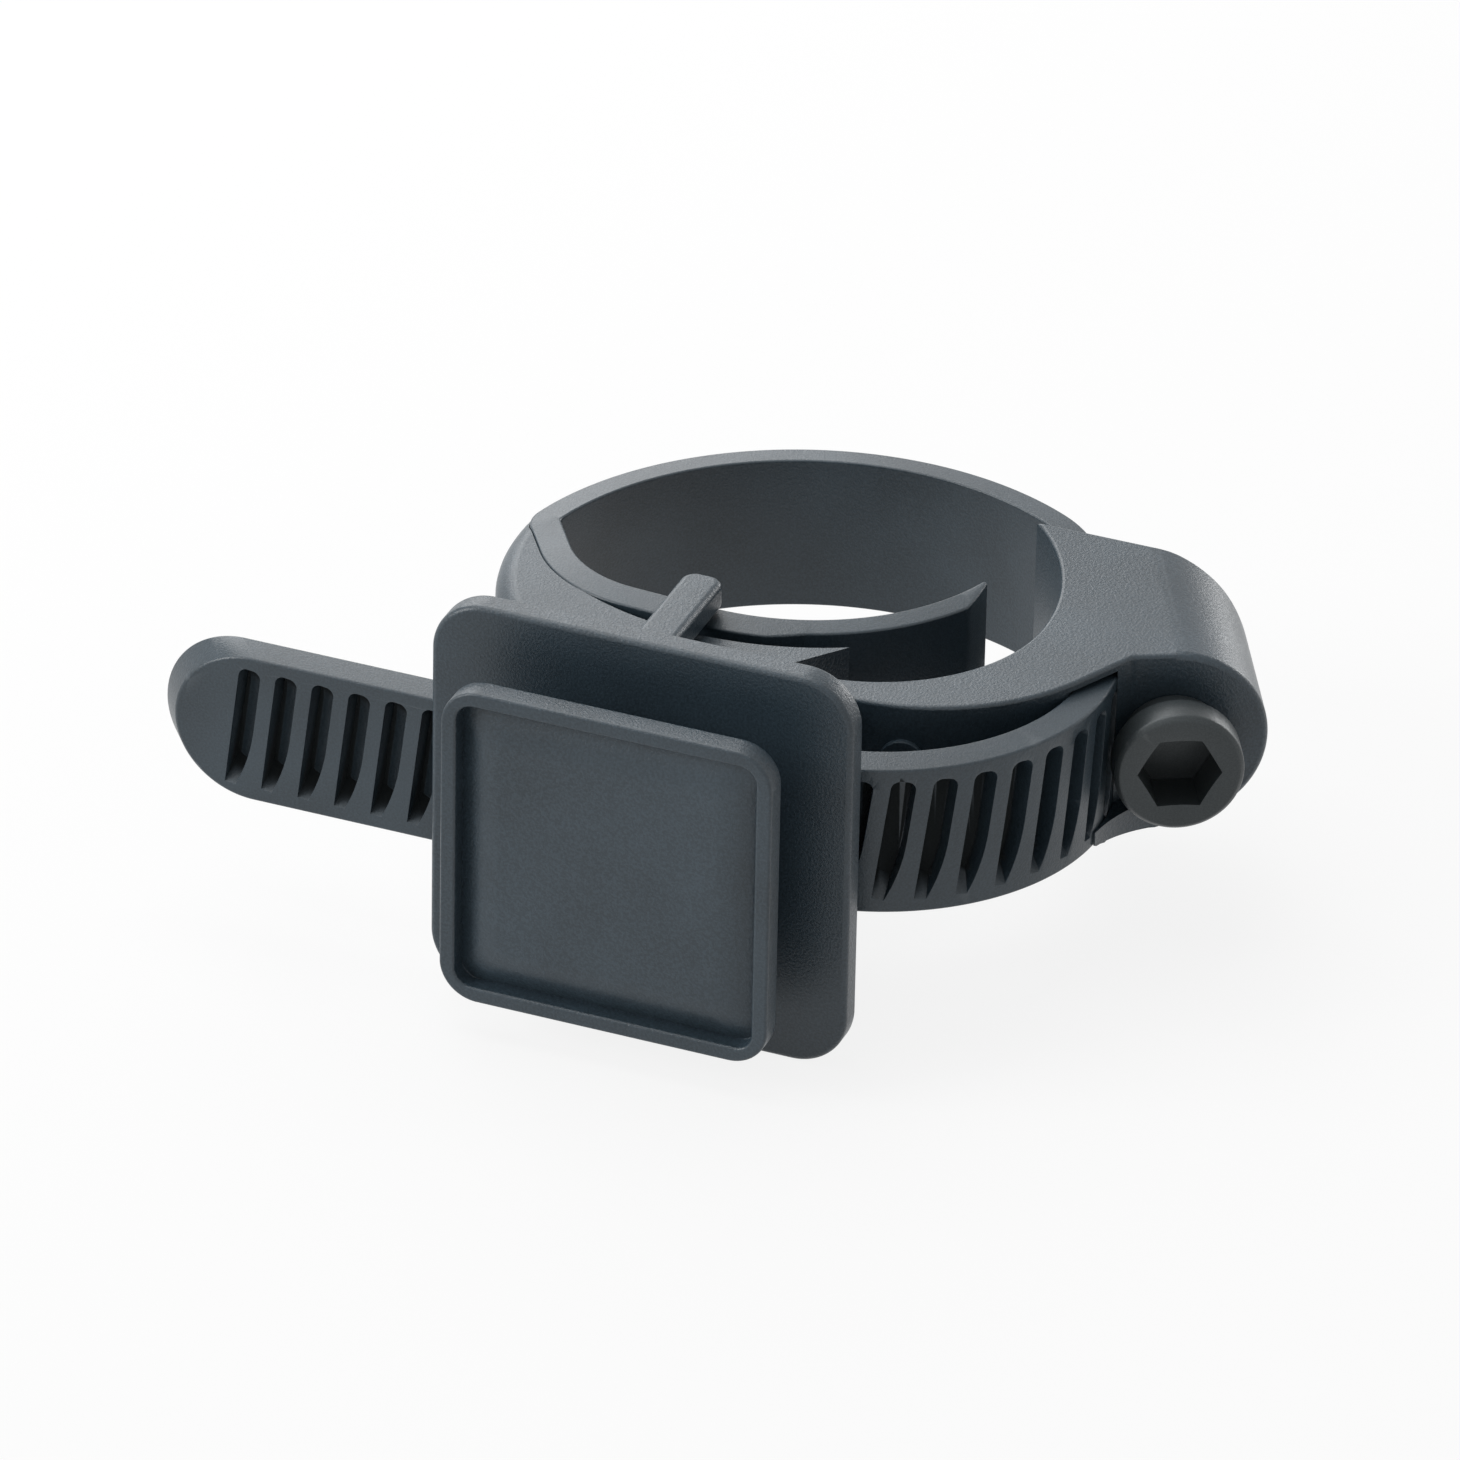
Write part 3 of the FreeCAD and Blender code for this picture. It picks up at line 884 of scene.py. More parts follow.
@dataclass
class StrapCourse:
    """The strap's middle line seen from above, from the tail's end to the tip of the tongue."""

    strap_thickness: float = 2.1
    screw_tilt: float = 27.5
    loop_radius: float = 20.25
    loop_end_angle: float = 166.0
    entry_bend_radius: float = 8.07
    worm_run_inset: float = 1.91
    front_bend_radius: float = 14.0
    front_run_depth: float = 17.25
    step_radius: float = 30.0
    step_angle: float = 15.5
    tail_length: float = 28.4
    corner_inner_radius: float = 0.6
    corner_turn: float = 48.0
    tongue_root_length: float = 3.3
    tongue_root_radius: float = 9.0
    tongue_root_turn: float = 52.0
    tongue_flat_length: float = 5.6
    tongue_radius: float = 16.2
    tongue_turn: float = 76.6
    runs: list[Run] = field(init=False)

    def __post_init__(self) -> None:
        """Work out the runs."""
        half = self.strap_thickness / 2
        loop = self.loop_radius + half
        entry = self.entry_bend_radius + half
        front = self.front_bend_radius + half
        along = polar(1, self.screw_tilt + 90)
        outward = polar(1, self.screw_tilt)
        entry_turn = math.degrees(math.acos(1 - self.worm_run_inset / (loop - entry)))
        self.loop_start_angle = self.screw_tilt + entry_turn
        entry_centre = polar(loop - entry, self.loop_start_angle)
        front_y = front - self.front_run_depth
        front_x = (loop - self.worm_run_inset - front - front_y * outward[1]) / outward[0]
        self.front_bend_centre = (front_x, front_y)
        worm_run = sum((entry_centre[i] - self.front_bend_centre[i]) * along[i] for i in (0, 1))
        forward = 2 * self.step_radius * math.sin(math.radians(self.step_angle))
        rise = 2 * self.step_radius * (1 - math.cos(math.radians(self.step_angle)))
        place = (front_x - forward - self.tail_length, front_y - front - rise)
        self.tail_start = place
        heading = 0.0
        self.runs = []
        for size, turn in (
            (self.tail_length, 0),
            (self.step_radius, self.step_angle),
            (self.step_radius, -self.step_angle),
            (front, 90 + self.screw_tilt),
            (worm_run, 0),
            (entry, entry_turn),
            (loop, self.loop_end_angle - self.loop_start_angle),
            (self.corner_inner_radius + half, self.corner_turn),
            (self.tongue_root_length, 0),
            (self.tongue_root_radius, self.tongue_root_turn),
            (self.tongue_flat_length, 0),
            (self.tongue_radius, self.tongue_turn),
        ):
            run = Run(place, heading, size, turn)
            self.runs.append(run)
            place = run.at(run.length)
            heading += turn

    @property
    def length(self) -> float:
        """Length of the whole course."""
        return sum(run.length for run in self.runs)

    def distance_to(self, index: int) -> float:
        """Distance from the tail's end to the start of a run."""
        return sum(run.length for run in self.runs[:index])

    def at(self, distance: float, offset: float = 0.0) -> Point:
        """Point on the course.

        Args:
            distance: Distance from the tail's end.
            offset: Distance to the right of the middle line.

        Returns:
            The point.
        """
        for run in self.runs[:-1]:
            if distance <= run.length:
                return run.at(distance, offset)
            distance -= run.length
        return self.runs[-1].at(distance, offset)

    def band(self, name: str, half_width: float, half_height: float) -> bpy.types.Object:
        """Solid along the whole course.

        Args:
            name: Name of the solid.
            half_width: Reach to either side of the middle line.
            half_height: Reach above and below it.

        Returns:
            The solid.
        """
        outline = Outline(name, self.at(0, half_width), -half_height)
        for run in self.runs:
            if run.turn == 0:
                outline.line(run.at(run.length, half_width))
            else:
                outline.arc(run.centre, run.turn)
        outline.line(self.at(self.length, -half_width))
        for run in reversed(self.runs):
            if run.turn == 0:
                outline.line(run.at(0, -half_width))
            else:
                outline.arc(run.centre, -run.turn)
        return outline.prism(2 * half_height)


@dataclass
class ClampStrap:
    """Slotted strap, modelled flat with its slotted face up and then laid along its course."""

    course: StrapCourse
    strap_width: float = 11.4
    tail_nose_slope: float = 0.75
    side_draft: float = 0.28
    rim_round: float = 0.22
    tongue_bevel_length: float = 3.2
    tongue_thickness: float = 1.6
    tongue_thin_length: float = 19.5
    tongue_ramp_length: float = 2.5
    tongue_tip_thickness: float = 0.35
    slot_pitch: float = 2.64
    slot_width: float = 1.55
    slot_foot_width: float = 0.75
    slot_height: float = 9.1
    slot_depth: float = 1.8
    slot_shallow_depth: float = 1.5
    slot_foot_ramp: float = 1.4
    slot_top_round: float = 0.6
    slot_rim_round: float = 0.14
    slot_lean: float = 7.0
    first_slot_from_end: float = 6.46
    last_slot_angle: float = 95.0
    bend_step: float = 0.55
    fewest_bend_steps: int = 6

    def flat_blank(self) -> bpy.types.Object:
        """Blank with a leaning round nose, a bevelled tip and rounded rims.

        Returns:
            The blank, with its length along X.
        """
        half = self.strap_width / 2
        thickness = self.course.strap_thickness
        outline = Outline("clamp_strap_visual", (half, half), -thickness / 2)
        outline.arc((half, 0.0), 180)
        outline.line((self.course.length, -half)).line((self.course.length, half)).line((half, half))
        blank = outline.prism(thickness)
        nose_end = (half + OUTLINE_WELD) * MM
        Bench.select_edges(blank, lambda a, b: min(a.z, b.z) > 0 and max(a.x, b.x) < nose_end)
        bpy.ops.transform.translate(value=(self.tail_nose_slope * thickness * MM, 0, 0))
        Bench.leave_edit()
        Bench.select_edges(blank, lambda a, b: min(a.z, b.z) > 0)
        bpy.ops.transform.resize(value=(1, 1 - self.side_draft / half, 1), center_override=(0, 0, 0))
        Bench.leave_edit()
        Bench.combine(blank, self.tongue_relief(), Cut.REMOVE)
        drop = self.tongue_thickness - self.tongue_tip_thickness
        bevel_start = self.course.length - self.tongue_bevel_length
        start = Vector((bevel_start, 0, self.tongue_thickness - thickness / 2)) * MM
        Bench.trim(blank, start, Vector((drop, 0, self.tongue_bevel_length)).normalized())
        Bench.round_edges(blank, self.rim_round, angle=35)
        return blank

    def tongue_relief(self) -> bpy.types.Object:
        """Tool that thins the tongue on its outer side, with a ramp where the thin part starts.

        Returns:
            The tool.
        """
        depth = self.course.strap_thickness - self.tongue_thickness
        size = Vector((2 * self.tongue_thin_length, 2 * self.strap_width, 2 * depth)) * MM
        place = Vector((self.course.length, 0, self.course.strap_thickness / 2)) * MM
        Bench.clear()
        bpy.ops.mesh.primitive_cube_add(size=1, location=place, scale=size)
        tool = Bench.take_new("tongue_relief")
        Bench.select_edges(tool, lambda a, b: max(a.z, b.z) < place.z and max(a.x, b.x) < place.x)
        bpy.ops.transform.translate(value=(2 * self.tongue_ramp_length * MM, 0, 0))
        Bench.leave_edit()
        return tool

    def slot_cutter(self) -> bpy.types.Object:
        """Tool for one slot: straight and deep on its left, swelling and shallow on its right.

        Its foot ends in a ramp and its upper corners are round.

        Returns:
            The tool, at the origin.
        """
        left = -self.slot_width / 2
        right = self.slot_width / 2
        top = self.slot_height / 2
        lift = self.slot_depth
        surface = self.course.strap_thickness / 2
        bulge = self.slot_width - self.slot_foot_width
        radius = (top ** 2 + bulge ** 2) / (2 * bulge)
        sweep = math.degrees(math.asin(top / radius))
        tool = Outline("slot_cutter", (left, top - self.slot_top_round), surface - lift)
        tool.line((left, -top)).line((left + self.slot_foot_width, -top))
        tool.arc((right - radius, 0.0), sweep)
        tool.line((right, top - self.slot_top_round))
        tool.arc((right - self.slot_top_round, top - self.slot_top_round), 90)
        tool.line((left + self.slot_top_round, top))
        tool.arc((left + self.slot_top_round, top - self.slot_top_round), 90)
        piece = tool.prism(2 * lift)
        slope = Vector((lift - self.slot_shallow_depth, 0, -self.slot_width)).normalized()
        Bench.trim(piece, Vector((left, 0, surface - lift)) * MM, slope)
        ramp = Vector((0, -lift, -self.slot_foot_ramp)).normalized()
        Bench.trim(piece, Vector((0, -top, surface)) * MM, ramp)
        piece.rotation_euler.z = -math.radians(self.slot_lean)
        return piece

    def cut_slots(self, blank: bpy.types.Object) -> int:
        """Cut the row of slots and round their rims.

        Args:
            blank: The flat strap.

        Returns:
            How many slots were cut.
        """
        loop = self.course.runs[Leg.LOOP]
        reach = math.radians(self.last_slot_angle - self.course.loop_start_angle)
        last = self.course.distance_to(Leg.LOOP) + loop.size * reach
        count = int((last - self.first_slot_from_end) / self.slot_pitch) + 1
        first = self.slot_cutter()
        tools = [first]
        for _ in range(count - 1):
            tool = first.copy()
            tool.data = first.data.copy()
            bpy.context.collection.objects.link(tool)
            tools.append(tool)
        Bench.clear()
        for index, tool in enumerate(tools):
            tool.location.x = (self.first_slot_from_end + index * self.slot_pitch) * MM
            tool.select_set(True)
        bpy.context.view_layer.objects.active = first
        bpy.ops.object.join()
        bpy.ops.object.transform_apply(location=True, rotation=True, scale=True)
        Bench.combine(blank, first, Cut.REMOVE)
        Bench.round_edges(blank, self.slot_rim_round, segments=2, angle=50)
        return count

    def lay_on_course(self, blank: bpy.types.Object) -> None:
        """Divide the flat strap finely and lay it along its course.

        Args:
            blank: The flat strap.
        """
        Bench.pick(blank)
        bpy.ops.object.mode_set(mode="EDIT")
        for index, run in enumerate(self.course.runs):
            if run.turn == 0:
                continue
            start = self.course.distance_to(index)
            steps = max(self.fewest_bend_steps, math.ceil(run.length / self.bend_step))
            for step in range(steps + 1):
                bpy.ops.mesh.select_all(action="SELECT")
                cut = (start + run.length * step / steps) * MM
                bpy.ops.mesh.bisect(plane_co=(cut, 0, 0), plane_no=(1, 0, 0))
        Bench.leave_edit()
        for vertex in blank.data.vertices:
            distance, height, offset = vertex.co / MM
            place = self.course.at(distance, offset)
            vertex.co = Vector((place[0], place[1], height)) * MM

    def build(self) -> bpy.types.Object:
        """Make, dress and register the strap.

        Returns:
            The strap.
        """
        blank = self.flat_blank()
        count = self.cut_slots(blank)
        self.lay_on_course(blank)
        Bench.finish(blank)
        STRAP_FINISH.dress(blank)
        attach(blank, BodyName.FRAME.value)
        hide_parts("clamp_strap")
        LOG.info("clamp strap with %d slots", count)
        return blank


@dataclass(frozen=True)
class ScrewAxis:
    """Line of the worm screw, read from the frame's joint; stations along it are millimetres."""

    foot: Vector
    along: Vector

    @classmethod
    def from_record(cls, record: dict) -> "ScrewAxis":
        """Read the axis of the joint that the screw turns on.

        Args:
            record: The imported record.

        Returns:
            The axis.
        """
        joint = record["behaviour"]["joints"][0]
        return cls(Vector(joint["pos_m"]) / MM, Vector(joint["axis"]).normalized())

    @property
    def outward(self) -> Vector:
        """Level direction away from the strap."""
        return self.along.cross(Vector((0, 0, 1)))

    def station(self, along: float, outward: float = 0.0) -> Point:
        """Point at a station, moved away from the strap, seen from above."""
        point = self.foot + self.along * along + self.outward * outward
        return point.x, point.y

    def matrix(self) -> Matrix:
        """Placement that takes Y to the axis and X to the outward direction, in metres."""
        turn = Matrix((self.outward, self.along, Vector((0, 0, 1)))).transposed().to_4x4()
        return Matrix.Translation(self.foot * MM) @ turn

    def drum(self, name: str, radius: float, start: float, end: float) -> bpy.types.Object:
        """Fine cylinder about the axis between two stations.

        Args:
            name: Name of the solid.
            radius: Its radius.
            start: First station.
            end: Last station.

        Returns:
            The solid.
        """
        Bench.clear()
        depth = (end - start) * MM
        bpy.ops.mesh.primitive_cylinder_add(vertices=FACETS_FINE, radius=radius * MM, depth=depth)
        piece = Bench.take_new(name)
        middle = Matrix.Translation((0, (start + end) / 2 * MM, 0))
        piece.data.transform(self.matrix() @ middle @ Matrix.Rotation(math.radians(90), 4, "X"))
        return piece


@dataclass
class MountBody:
    """The moulding: bag plate and flange, neck, half ring, saddle, hook tabs and screw housing."""

    course: StrapCourse
    axis: ScrewAxis
    strap_width: float = 11.4
    strap_clearance: float = 0.2
    channel_gap: float = 0.05
    plate_width: float = 29.6
    plate_height: float = 29.1
    plate_thickness: float = 2.0
    plate_corner: float = 3.8
    plate_edge_round: float = 0.4
    plate_offset: float = -2.65
    flange_width: float = 23.2
    flange_height: float = 23.5
    flange_thickness: float = 1.8
    flange_corner: float = 2.7
    flange_edge_round: float = 0.22
    clip_gap: float = 4.17
    rim_width: float = 1.1
    window_corner: float = 1.2
    window_depth: float = 1.4
    pad_slope_width: float = 2.1
    pad_rise: float = 0.95
    pad_round: float = 0.9
    pad_segments: int = 5
    pad_margin: float = 0.6
    neck_width: float = 17.5
    neck_height: float = 16.0
    neck_corner: float = 1.5
    wall_half_height: float = 6.5
    arm_inner_radius: float = 12.0
    arm_inner_centre: Point = (3.7, 3.0)
    arm_outer_radius: float = 14.56
    arm_outer_centre: Point = (7.35, 3.6)
    guide_radius: float = 18.2
    housing_back: float = 16.0
    housing_corner_round: float = 4.0
    saddle_radius: float = 20.3
    saddle_centre: Point = (-5.45, 14.75)
    saddle_left: float = -15.7
    saddle_right: float = 4.3
    saddle_undercut: float = 2.6
    saddle_undercut_depth: float = 3.3
    cheek_radius: float = 19.5
    cheek_centre: Point = (-3.0, 4.0)
    cheek_top_angle: float = 171.0
    cheek_slope: float = 1.5
    cheek_segments: int = 6
    cheek_profile: float = 0.42
    saddle_half_height: float = 5.4
    tab_width: float = 2.9
    tab_offset: float = -6.45
    tab_reach: float = -1.9
    tab_round: float = 1.1
    tab_edge_round: float = 0.5
    boss_angle: float = -75.5
    boss_height: float = 2.5
    boss_radius: float = 1.45
    boss_proud: float = 0.4
    barrel_front: float = -8.95
    notch_shift: float = 1.0
    lip_edge: float = 0.12
    lip_taper: float = 6.0
    lip_end_height: float = 5.4
    lower_lip_angle: float = -5.0
    lower_lip_height: float = 2.2
    barrel_rim_round: float = 0.55
    shave_overlap: float = 0.1
    shave_weld: float = 0.04
    bore_radius: float = 2.91
    bore_end: float = 1.85
    rear_bore_radius: float = 1.66
    clip_seat: float = 3.15
    clip_recess_radius: float = 3.1
    edge_round: float = 0.28
    rim_segments: int = 4
    cut_over: float = 1.0

    def __post_init__(self) -> None:
        """Work out the levels that follow from the strap's course."""
        self.channel_half = self.course.strap_thickness / 2 + self.strap_clearance
        self.channel_half_height = self.strap_width / 2 + self.strap_clearance
        self.plate_back = self.course.tail_start[1] - self.channel_half
        self.plate_front = self.plate_back - self.plate_thickness
        self.flange_back = self.plate_front - self.clip_gap
        self.flange_front = self.flange_back - self.flange_thickness
        self.wall_outer = self.arm_outer_centre[1] - self.arm_outer_radius
        self.wall_inner = self.arm_inner_centre[1] - self.arm_inner_radius

    def upright_block(
        self, name: str, size: Point, front: float, back: float, corner: float
    ) -> bpy.types.Object:
        """Block on the plate's centre line with round corners seen from the front.

        Args:
            name: Name of the block.
            size: Width and height.
            front: Place of its front face along Y.
            back: Place of its back face along Y.
            corner: Radius of its corners.

        Returns:
            The block.
        """
        left, right = self.plate_offset - size[0] / 2, self.plate_offset + size[0] / 2
        low, high = -size[1] / 2, size[1] / 2
        outline = Outline(name, (left + corner, low), -back)
        outline.line((right - corner, low)).arc((right - corner, low + corner), 90)
        outline.line((right, high - corner)).arc((right - corner, high - corner), 90)
        outline.line((left + corner, high)).arc((left + corner, high - corner), 90)
        outline.line((left, low + corner)).arc((left + corner, low + corner), 90)
        block = outline.prism(back - front)
        Bench.pick(block)
        block.rotation_euler.x = math.radians(90)
        bpy.ops.object.transform_apply(location=True, rotation=True, scale=True)
        return block

    def plate(self) -> bpy.types.Object:
        """Square plate with rounded rims.

        Returns:
            The plate.
        """
        plate = self.upright_block("plate", (self.plate_width, self.plate_height), self.plate_front,
                                   self.plate_back, self.plate_corner)
        Bench.round_edges(plate, self.plate_edge_round, self.rim_segments)
        return plate

    def flange(self) -> bpy.types.Object:
        """Front flange with a rim round a sunk window and a pad with sloping borders in it.

        Returns:
            The flange.
        """
        flange = self.upright_block("flange", (self.flange_width, self.flange_height), self.flange_front,
                                    self.flange_back, self.flange_corner)
        window_size = (self.flange_width - 2 * self.rim_width, self.flange_height - 2 * self.rim_width)
        floor = self.flange_front + self.window_depth
        window = self.upright_block("window", window_size, self.flange_front - self.cut_over, floor,
                                    self.window_corner)
        Bench.combine(flange, window, Cut.REMOVE)
        Bench.round_edges(flange, self.flange_edge_round, self.rim_segments)
        pad_size = tuple(side + 2 * self.pad_margin for side in window_size)
        pad = self.upright_block("pad", pad_size, floor - self.pad_rise, floor + self.cut_over / 10,
                                 self.window_corner + self.pad_margin)
        front = (floor - self.pad_rise / 2) * MM
        Bench.select_edges(pad, lambda a, b: max(a.y, b.y) < front)
        slope = self.pad_slope_width + self.pad_margin
        shrink = [1 - 2 * slope / side for side in pad_size]
        middle = (self.plate_offset * MM, 0, 0)
        bpy.ops.transform.resize(value=(shrink[0], 1, shrink[1]), center_override=middle)
        bpy.ops.mesh.bevel(offset=self.pad_round * MM, segments=self.pad_segments, affect="EDGES")
        Bench.leave_edit()
        Bench.combine(flange, pad, Cut.JOIN)
        return flange

    def arm_corner(self) -> Point:
        """Corner where the housing's front face meets the outside of the arm.

        Returns:
            The corner, seen from above.
        """
        outward = self.axis.outward.to_2d()
        to_front = Vector(self.axis.station(self.barrel_front)) - Vector(self.arm_outer_centre)
        reach = to_front.dot(outward)
        inset = reach - math.sqrt(reach ** 2 - to_front.length_squared + self.arm_outer_radius ** 2)
        return self.axis.station(self.barrel_front, -inset)

    def arm_and_housing(self) -> bpy.types.Object:
        """Wall behind the neck that runs on as the arm and widens to the housing, rounded over the screw.

        Returns:
            The wall.
        """
        barrel = self.wall_half_height
        back_station = (self.housing_back - self.axis.foot.y) / self.axis.along.y
        spare = self.shave_overlap
        side_front = Vector(self.axis.station(self.barrel_front, barrel + spare))
        along = self.axis.along.to_2d()
        side_back = side_front + along * ((self.housing_back - side_front.y) / along.y)
        turn = math.degrees(math.atan2(along.y, -along.x))
        tangent = self.housing_corner_round * math.tan(math.radians(turn / 2))
        corner = Vector(self.arm_corner()) + self.axis.outward.to_2d() * self.notch_shift
        from_centre = corner - Vector(self.arm_outer_centre)
        corner_angle = math.degrees(math.atan2(from_centre.y, from_centre.x)
                                    - math.acos(self.arm_outer_radius / from_centre.length))
        guide_centre = (self.arm_inner_centre[0] + self.arm_inner_radius - self.guide_radius,
                        self.arm_inner_centre[1])
        guide_angle = math.degrees(math.asin((self.housing_back - guide_centre[1]) / self.guide_radius))
        wall_left = self.plate_offset - self.neck_width / 2
        round_start = (side_back.x - tangent, self.housing_back)
        outline = Outline("arm", polar(self.guide_radius, guide_angle, guide_centre), -barrel)
        outline.line(round_start)
        outline.arc((round_start[0], self.housing_back - self.housing_corner_round), -turn)
        outline.line(tuple(side_front)).line(tuple(corner))
        outline.line(polar(self.arm_outer_radius, corner_angle, self.arm_outer_centre))
        outline.arc(self.arm_outer_centre, -90 - corner_angle)
        outline.line((wall_left, self.wall_outer)).line((wall_left, self.wall_inner))
        outline.line((self.arm_inner_centre[0], self.wall_inner))
        outline.arc(self.arm_inner_centre, 90).arc(guide_centre, guide_angle)
        wall = outline.prism(2 * barrel)
        Bench.round_edges(wall, self.edge_round, angle=35)
        reach = barrel + self.cut_over
        front, back = self.barrel_front - self.cut_over, back_station + reach
        shaver = Outline("shaver", self.axis.station(front, spare), -reach)
        shaver.line(self.axis.station(back, spare)).line(self.axis.station(back, reach))
        shaver.line(self.axis.station(front, reach)).line(self.axis.station(front, spare))
        beside = shaver.prism(2 * reach)
        Bench.combine(beside, self.barrel(back + reach), Cut.REMOVE)
        Bench.combine(wall, beside, Cut.REMOVE)
        Bench.weld(wall, self.shave_weld)
        return wall

    def barrel(self, back: float) -> bpy.types.Object:
        """Drum round the screw with a rounded front rim.

        Args:
            back: Station of its back end.

        Returns:
            The drum.
        """
        radius, turn = self.wall_half_height, self.barrel_rim_round
        front = self.barrel_front - self.channel_gap / 5
        profile = Outline("barrel", (0.0, front), 0.0)
        profile.line((radius - turn, front)).arc((radius - turn, front + turn), 90)
        profile.line((radius, back)).line((0.0, back))
        drum = profile.revolve(FACETS_FINE)
        drum.data.transform(self.axis.matrix())
        return drum

    def lip_curve(self) -> tuple[Point, Point, float]:
        """Hollow arc that leads from the strap's outer face to the housing's front face.

        Returns:
            The arc's start on the front face, its centre and its turn in degrees.
        """
        outer = self.course.front_bend_radius + self.course.strap_thickness + self.channel_gap + self.lip_edge
        bend = Vector(self.course.front_bend_centre)
        start = Vector(self.axis.station(self.barrel_front))
        ray = Vector(polar(1.0, self.lower_lip_angle))
        reach = (start - bend).dot(ray)
        span = (start - bend).length_squared
        radius = (2 * outer * reach - outer ** 2 - span) / (2 * (outer - reach))
        centre = bend + ray * (outer + radius)
        turn = math.degrees((start - centre).angle_signed(bend + ray * outer - centre))
        return tuple(start), tuple(centre), -turn

    def lower_lip(self) -> bpy.types.Object:
        """Shelf under the strap where it leaves the housing, with a hollow wedge outside the strap.

        Returns:
            The shelf.
        """
        inner = self.course.front_bend_radius
        outer = inner + self.course.strap_thickness + self.channel_gap
        bend = self.course.front_bend_centre
        start, centre, turn = self.lip_curve()
        back = Vector(self.arm_corner()) - self.axis.outward.to_2d() * self.course.strap_thickness
        shelf_outline = Outline("lip", start, -self.wall_half_height)
        shelf_outline.arc(centre, turn).line(polar(inner, self.lower_lip_angle, bend))
        shelf_outline.line(tuple(back)).line(start)
        drop = self.wall_half_height - self.channel_half_height
        shelf = shelf_outline.prism(2 * drop)
        to_bend = (Vector(bend) - self.axis.foot.to_2d()).dot(self.axis.along.to_2d())
        middle = inner + self.course.strap_thickness / 2
        rise = math.degrees(math.asin((self.barrel_front - to_bend) / middle))
        wedge = Outline("lip_wedge", start, -self.wall_half_height)
        wedge.arc(centre, turn).line(polar(middle, self.lower_lip_angle, bend))
        wedge.arc(bend, self.course.screw_tilt + rise - self.lower_lip_angle).line(start)
        Bench.combine(shelf, wedge.prism(self.lower_lip_height), Cut.JOIN)
        end = polar(outer, self.lower_lip_angle, bend)
        under = Vector((0, (self.lip_end_height - self.wall_half_height) / self.lip_taper, -1)).normalized()
        Bench.trim(shelf, Vector((*end, -self.lip_end_height)) * MM, under)
        return shelf

    def saddle_point(self, x: float) -> tuple[Point, float]:
        """Point of the saddle's hollow face.

        Args:
            x: Its place across.

        Returns:
            The point and its angle about the saddle's centre, in degrees.
        """
        side = x - self.saddle_centre[0]
        depth = math.sqrt(self.saddle_radius ** 2 - side ** 2)
        return (x, self.saddle_centre[1] - depth), math.degrees(math.atan2(-depth, side))

    def saddle_and_cheek(self) -> bpy.types.Object:
        """Pad that backs the tongue, joined to the sloping cheek round the strap's sharp bend.

        Returns:
            The pad.
        """
        rise = (self.cheek_centre[1] - self.wall_outer) / self.cheek_radius
        cheek_start = 180 + math.degrees(math.asin(rise))
        left_tip, left_angle = self.saddle_point(self.saddle_left)
        right_tip, right_angle = self.saddle_point(self.saddle_right)
        foot = (right_tip[0] - self.saddle_undercut, right_tip[1] - self.saddle_undercut_depth)
        corner_distance = self.course.distance_to(Leg.CORNER)
        bend_distance = self.course.distance_to(Leg.TONGUE_ROOT)
        third = self.course.runs[Leg.TONGUE_ROOT].length / 3
        first = polar(self.cheek_radius, cheek_start, self.cheek_centre)
        outline = Outline("saddle", first, -self.saddle_half_height)
        outline.arc(self.cheek_centre, self.cheek_top_angle - cheek_start)
        for distance in (corner_distance - self.course.strap_thickness, corner_distance,
                         bend_distance - third, bend_distance, bend_distance + third):
            outline.line(self.course.at(distance))
        outline.line(left_tip).arc(self.saddle_centre, right_angle - left_angle)
        outline.line(foot).line((foot[0], self.wall_outer)).line(first)
        pad = outline.prism(2 * self.saddle_half_height)
        centre = Vector(self.cheek_centre) * MM

        def on_shoulder(start: Vector, end: Vector) -> bool:
            """True for the level edges of the cheek's outer face."""
            reaches = [(point.to_2d() - centre).length for point in (start, end)]
            spread = max(abs(reach - self.cheek_radius * MM) for reach in reaches)
            return abs(start.z - end.z) < OUTLINE_WELD * MM and spread < 2 * OUTLINE_WELD * MM

        Bench.select_edges(pad, on_shoulder)
        bpy.ops.mesh.bevel(offset=self.cheek_slope * MM, segments=self.cheek_segments, affect="EDGES",
                           profile=self.cheek_profile)
        Bench.leave_edit()
        return pad

    def hook_tab(self, side: int) -> bpy.types.Object:
        """Finger over the tongue's rim.

        Args:
            side: 1 for the one above, -1 for the one below.

        Returns:
            The finger.
        """
        high = self.neck_height / 2
        thickness = high - self.channel_half_height
        left, right = self.tab_offset - self.tab_width / 2, self.tab_offset + self.tab_width / 2
        end, turn = self.tab_reach, self.tab_round
        tab = Outline("tab", (left, self.wall_outer), self.channel_half_height if side > 0 else -high)
        tab.line((right, self.wall_outer)).line((right, end - turn)).arc((right - turn, end - turn), 90)
        tab.line((left + turn, end)).arc((left + turn, end - turn), 90).line((left, self.wall_outer))
        piece = tab.prism(thickness)
        Bench.round_edges(piece, self.tab_edge_round, self.rim_segments)
        return piece

    def arm_boss(self) -> bpy.types.Object:
        """Small round boss on the outside of the arm, behind the strap.

        Returns:
            The boss.
        """
        sink = self.boss_radius
        length = sink + self.boss_proud
        reach = self.arm_outer_radius + (self.boss_proud - sink) / 2
        middle = polar(reach, self.boss_angle, self.arm_outer_centre)
        Bench.clear()
        bpy.ops.mesh.primitive_cylinder_add(
            vertices=FACETS_SMALL, radius=self.boss_radius * MM, depth=length * MM,
            location=(middle[0] * MM, middle[1] * MM, self.boss_height * MM),
            rotation=(math.radians(90), 0, math.radians(self.boss_angle + 90)),
        )
        boss = Bench.take_new("boss")
        Bench.round_edges(boss, self.boss_proud / 3, segments=2)
        return boss

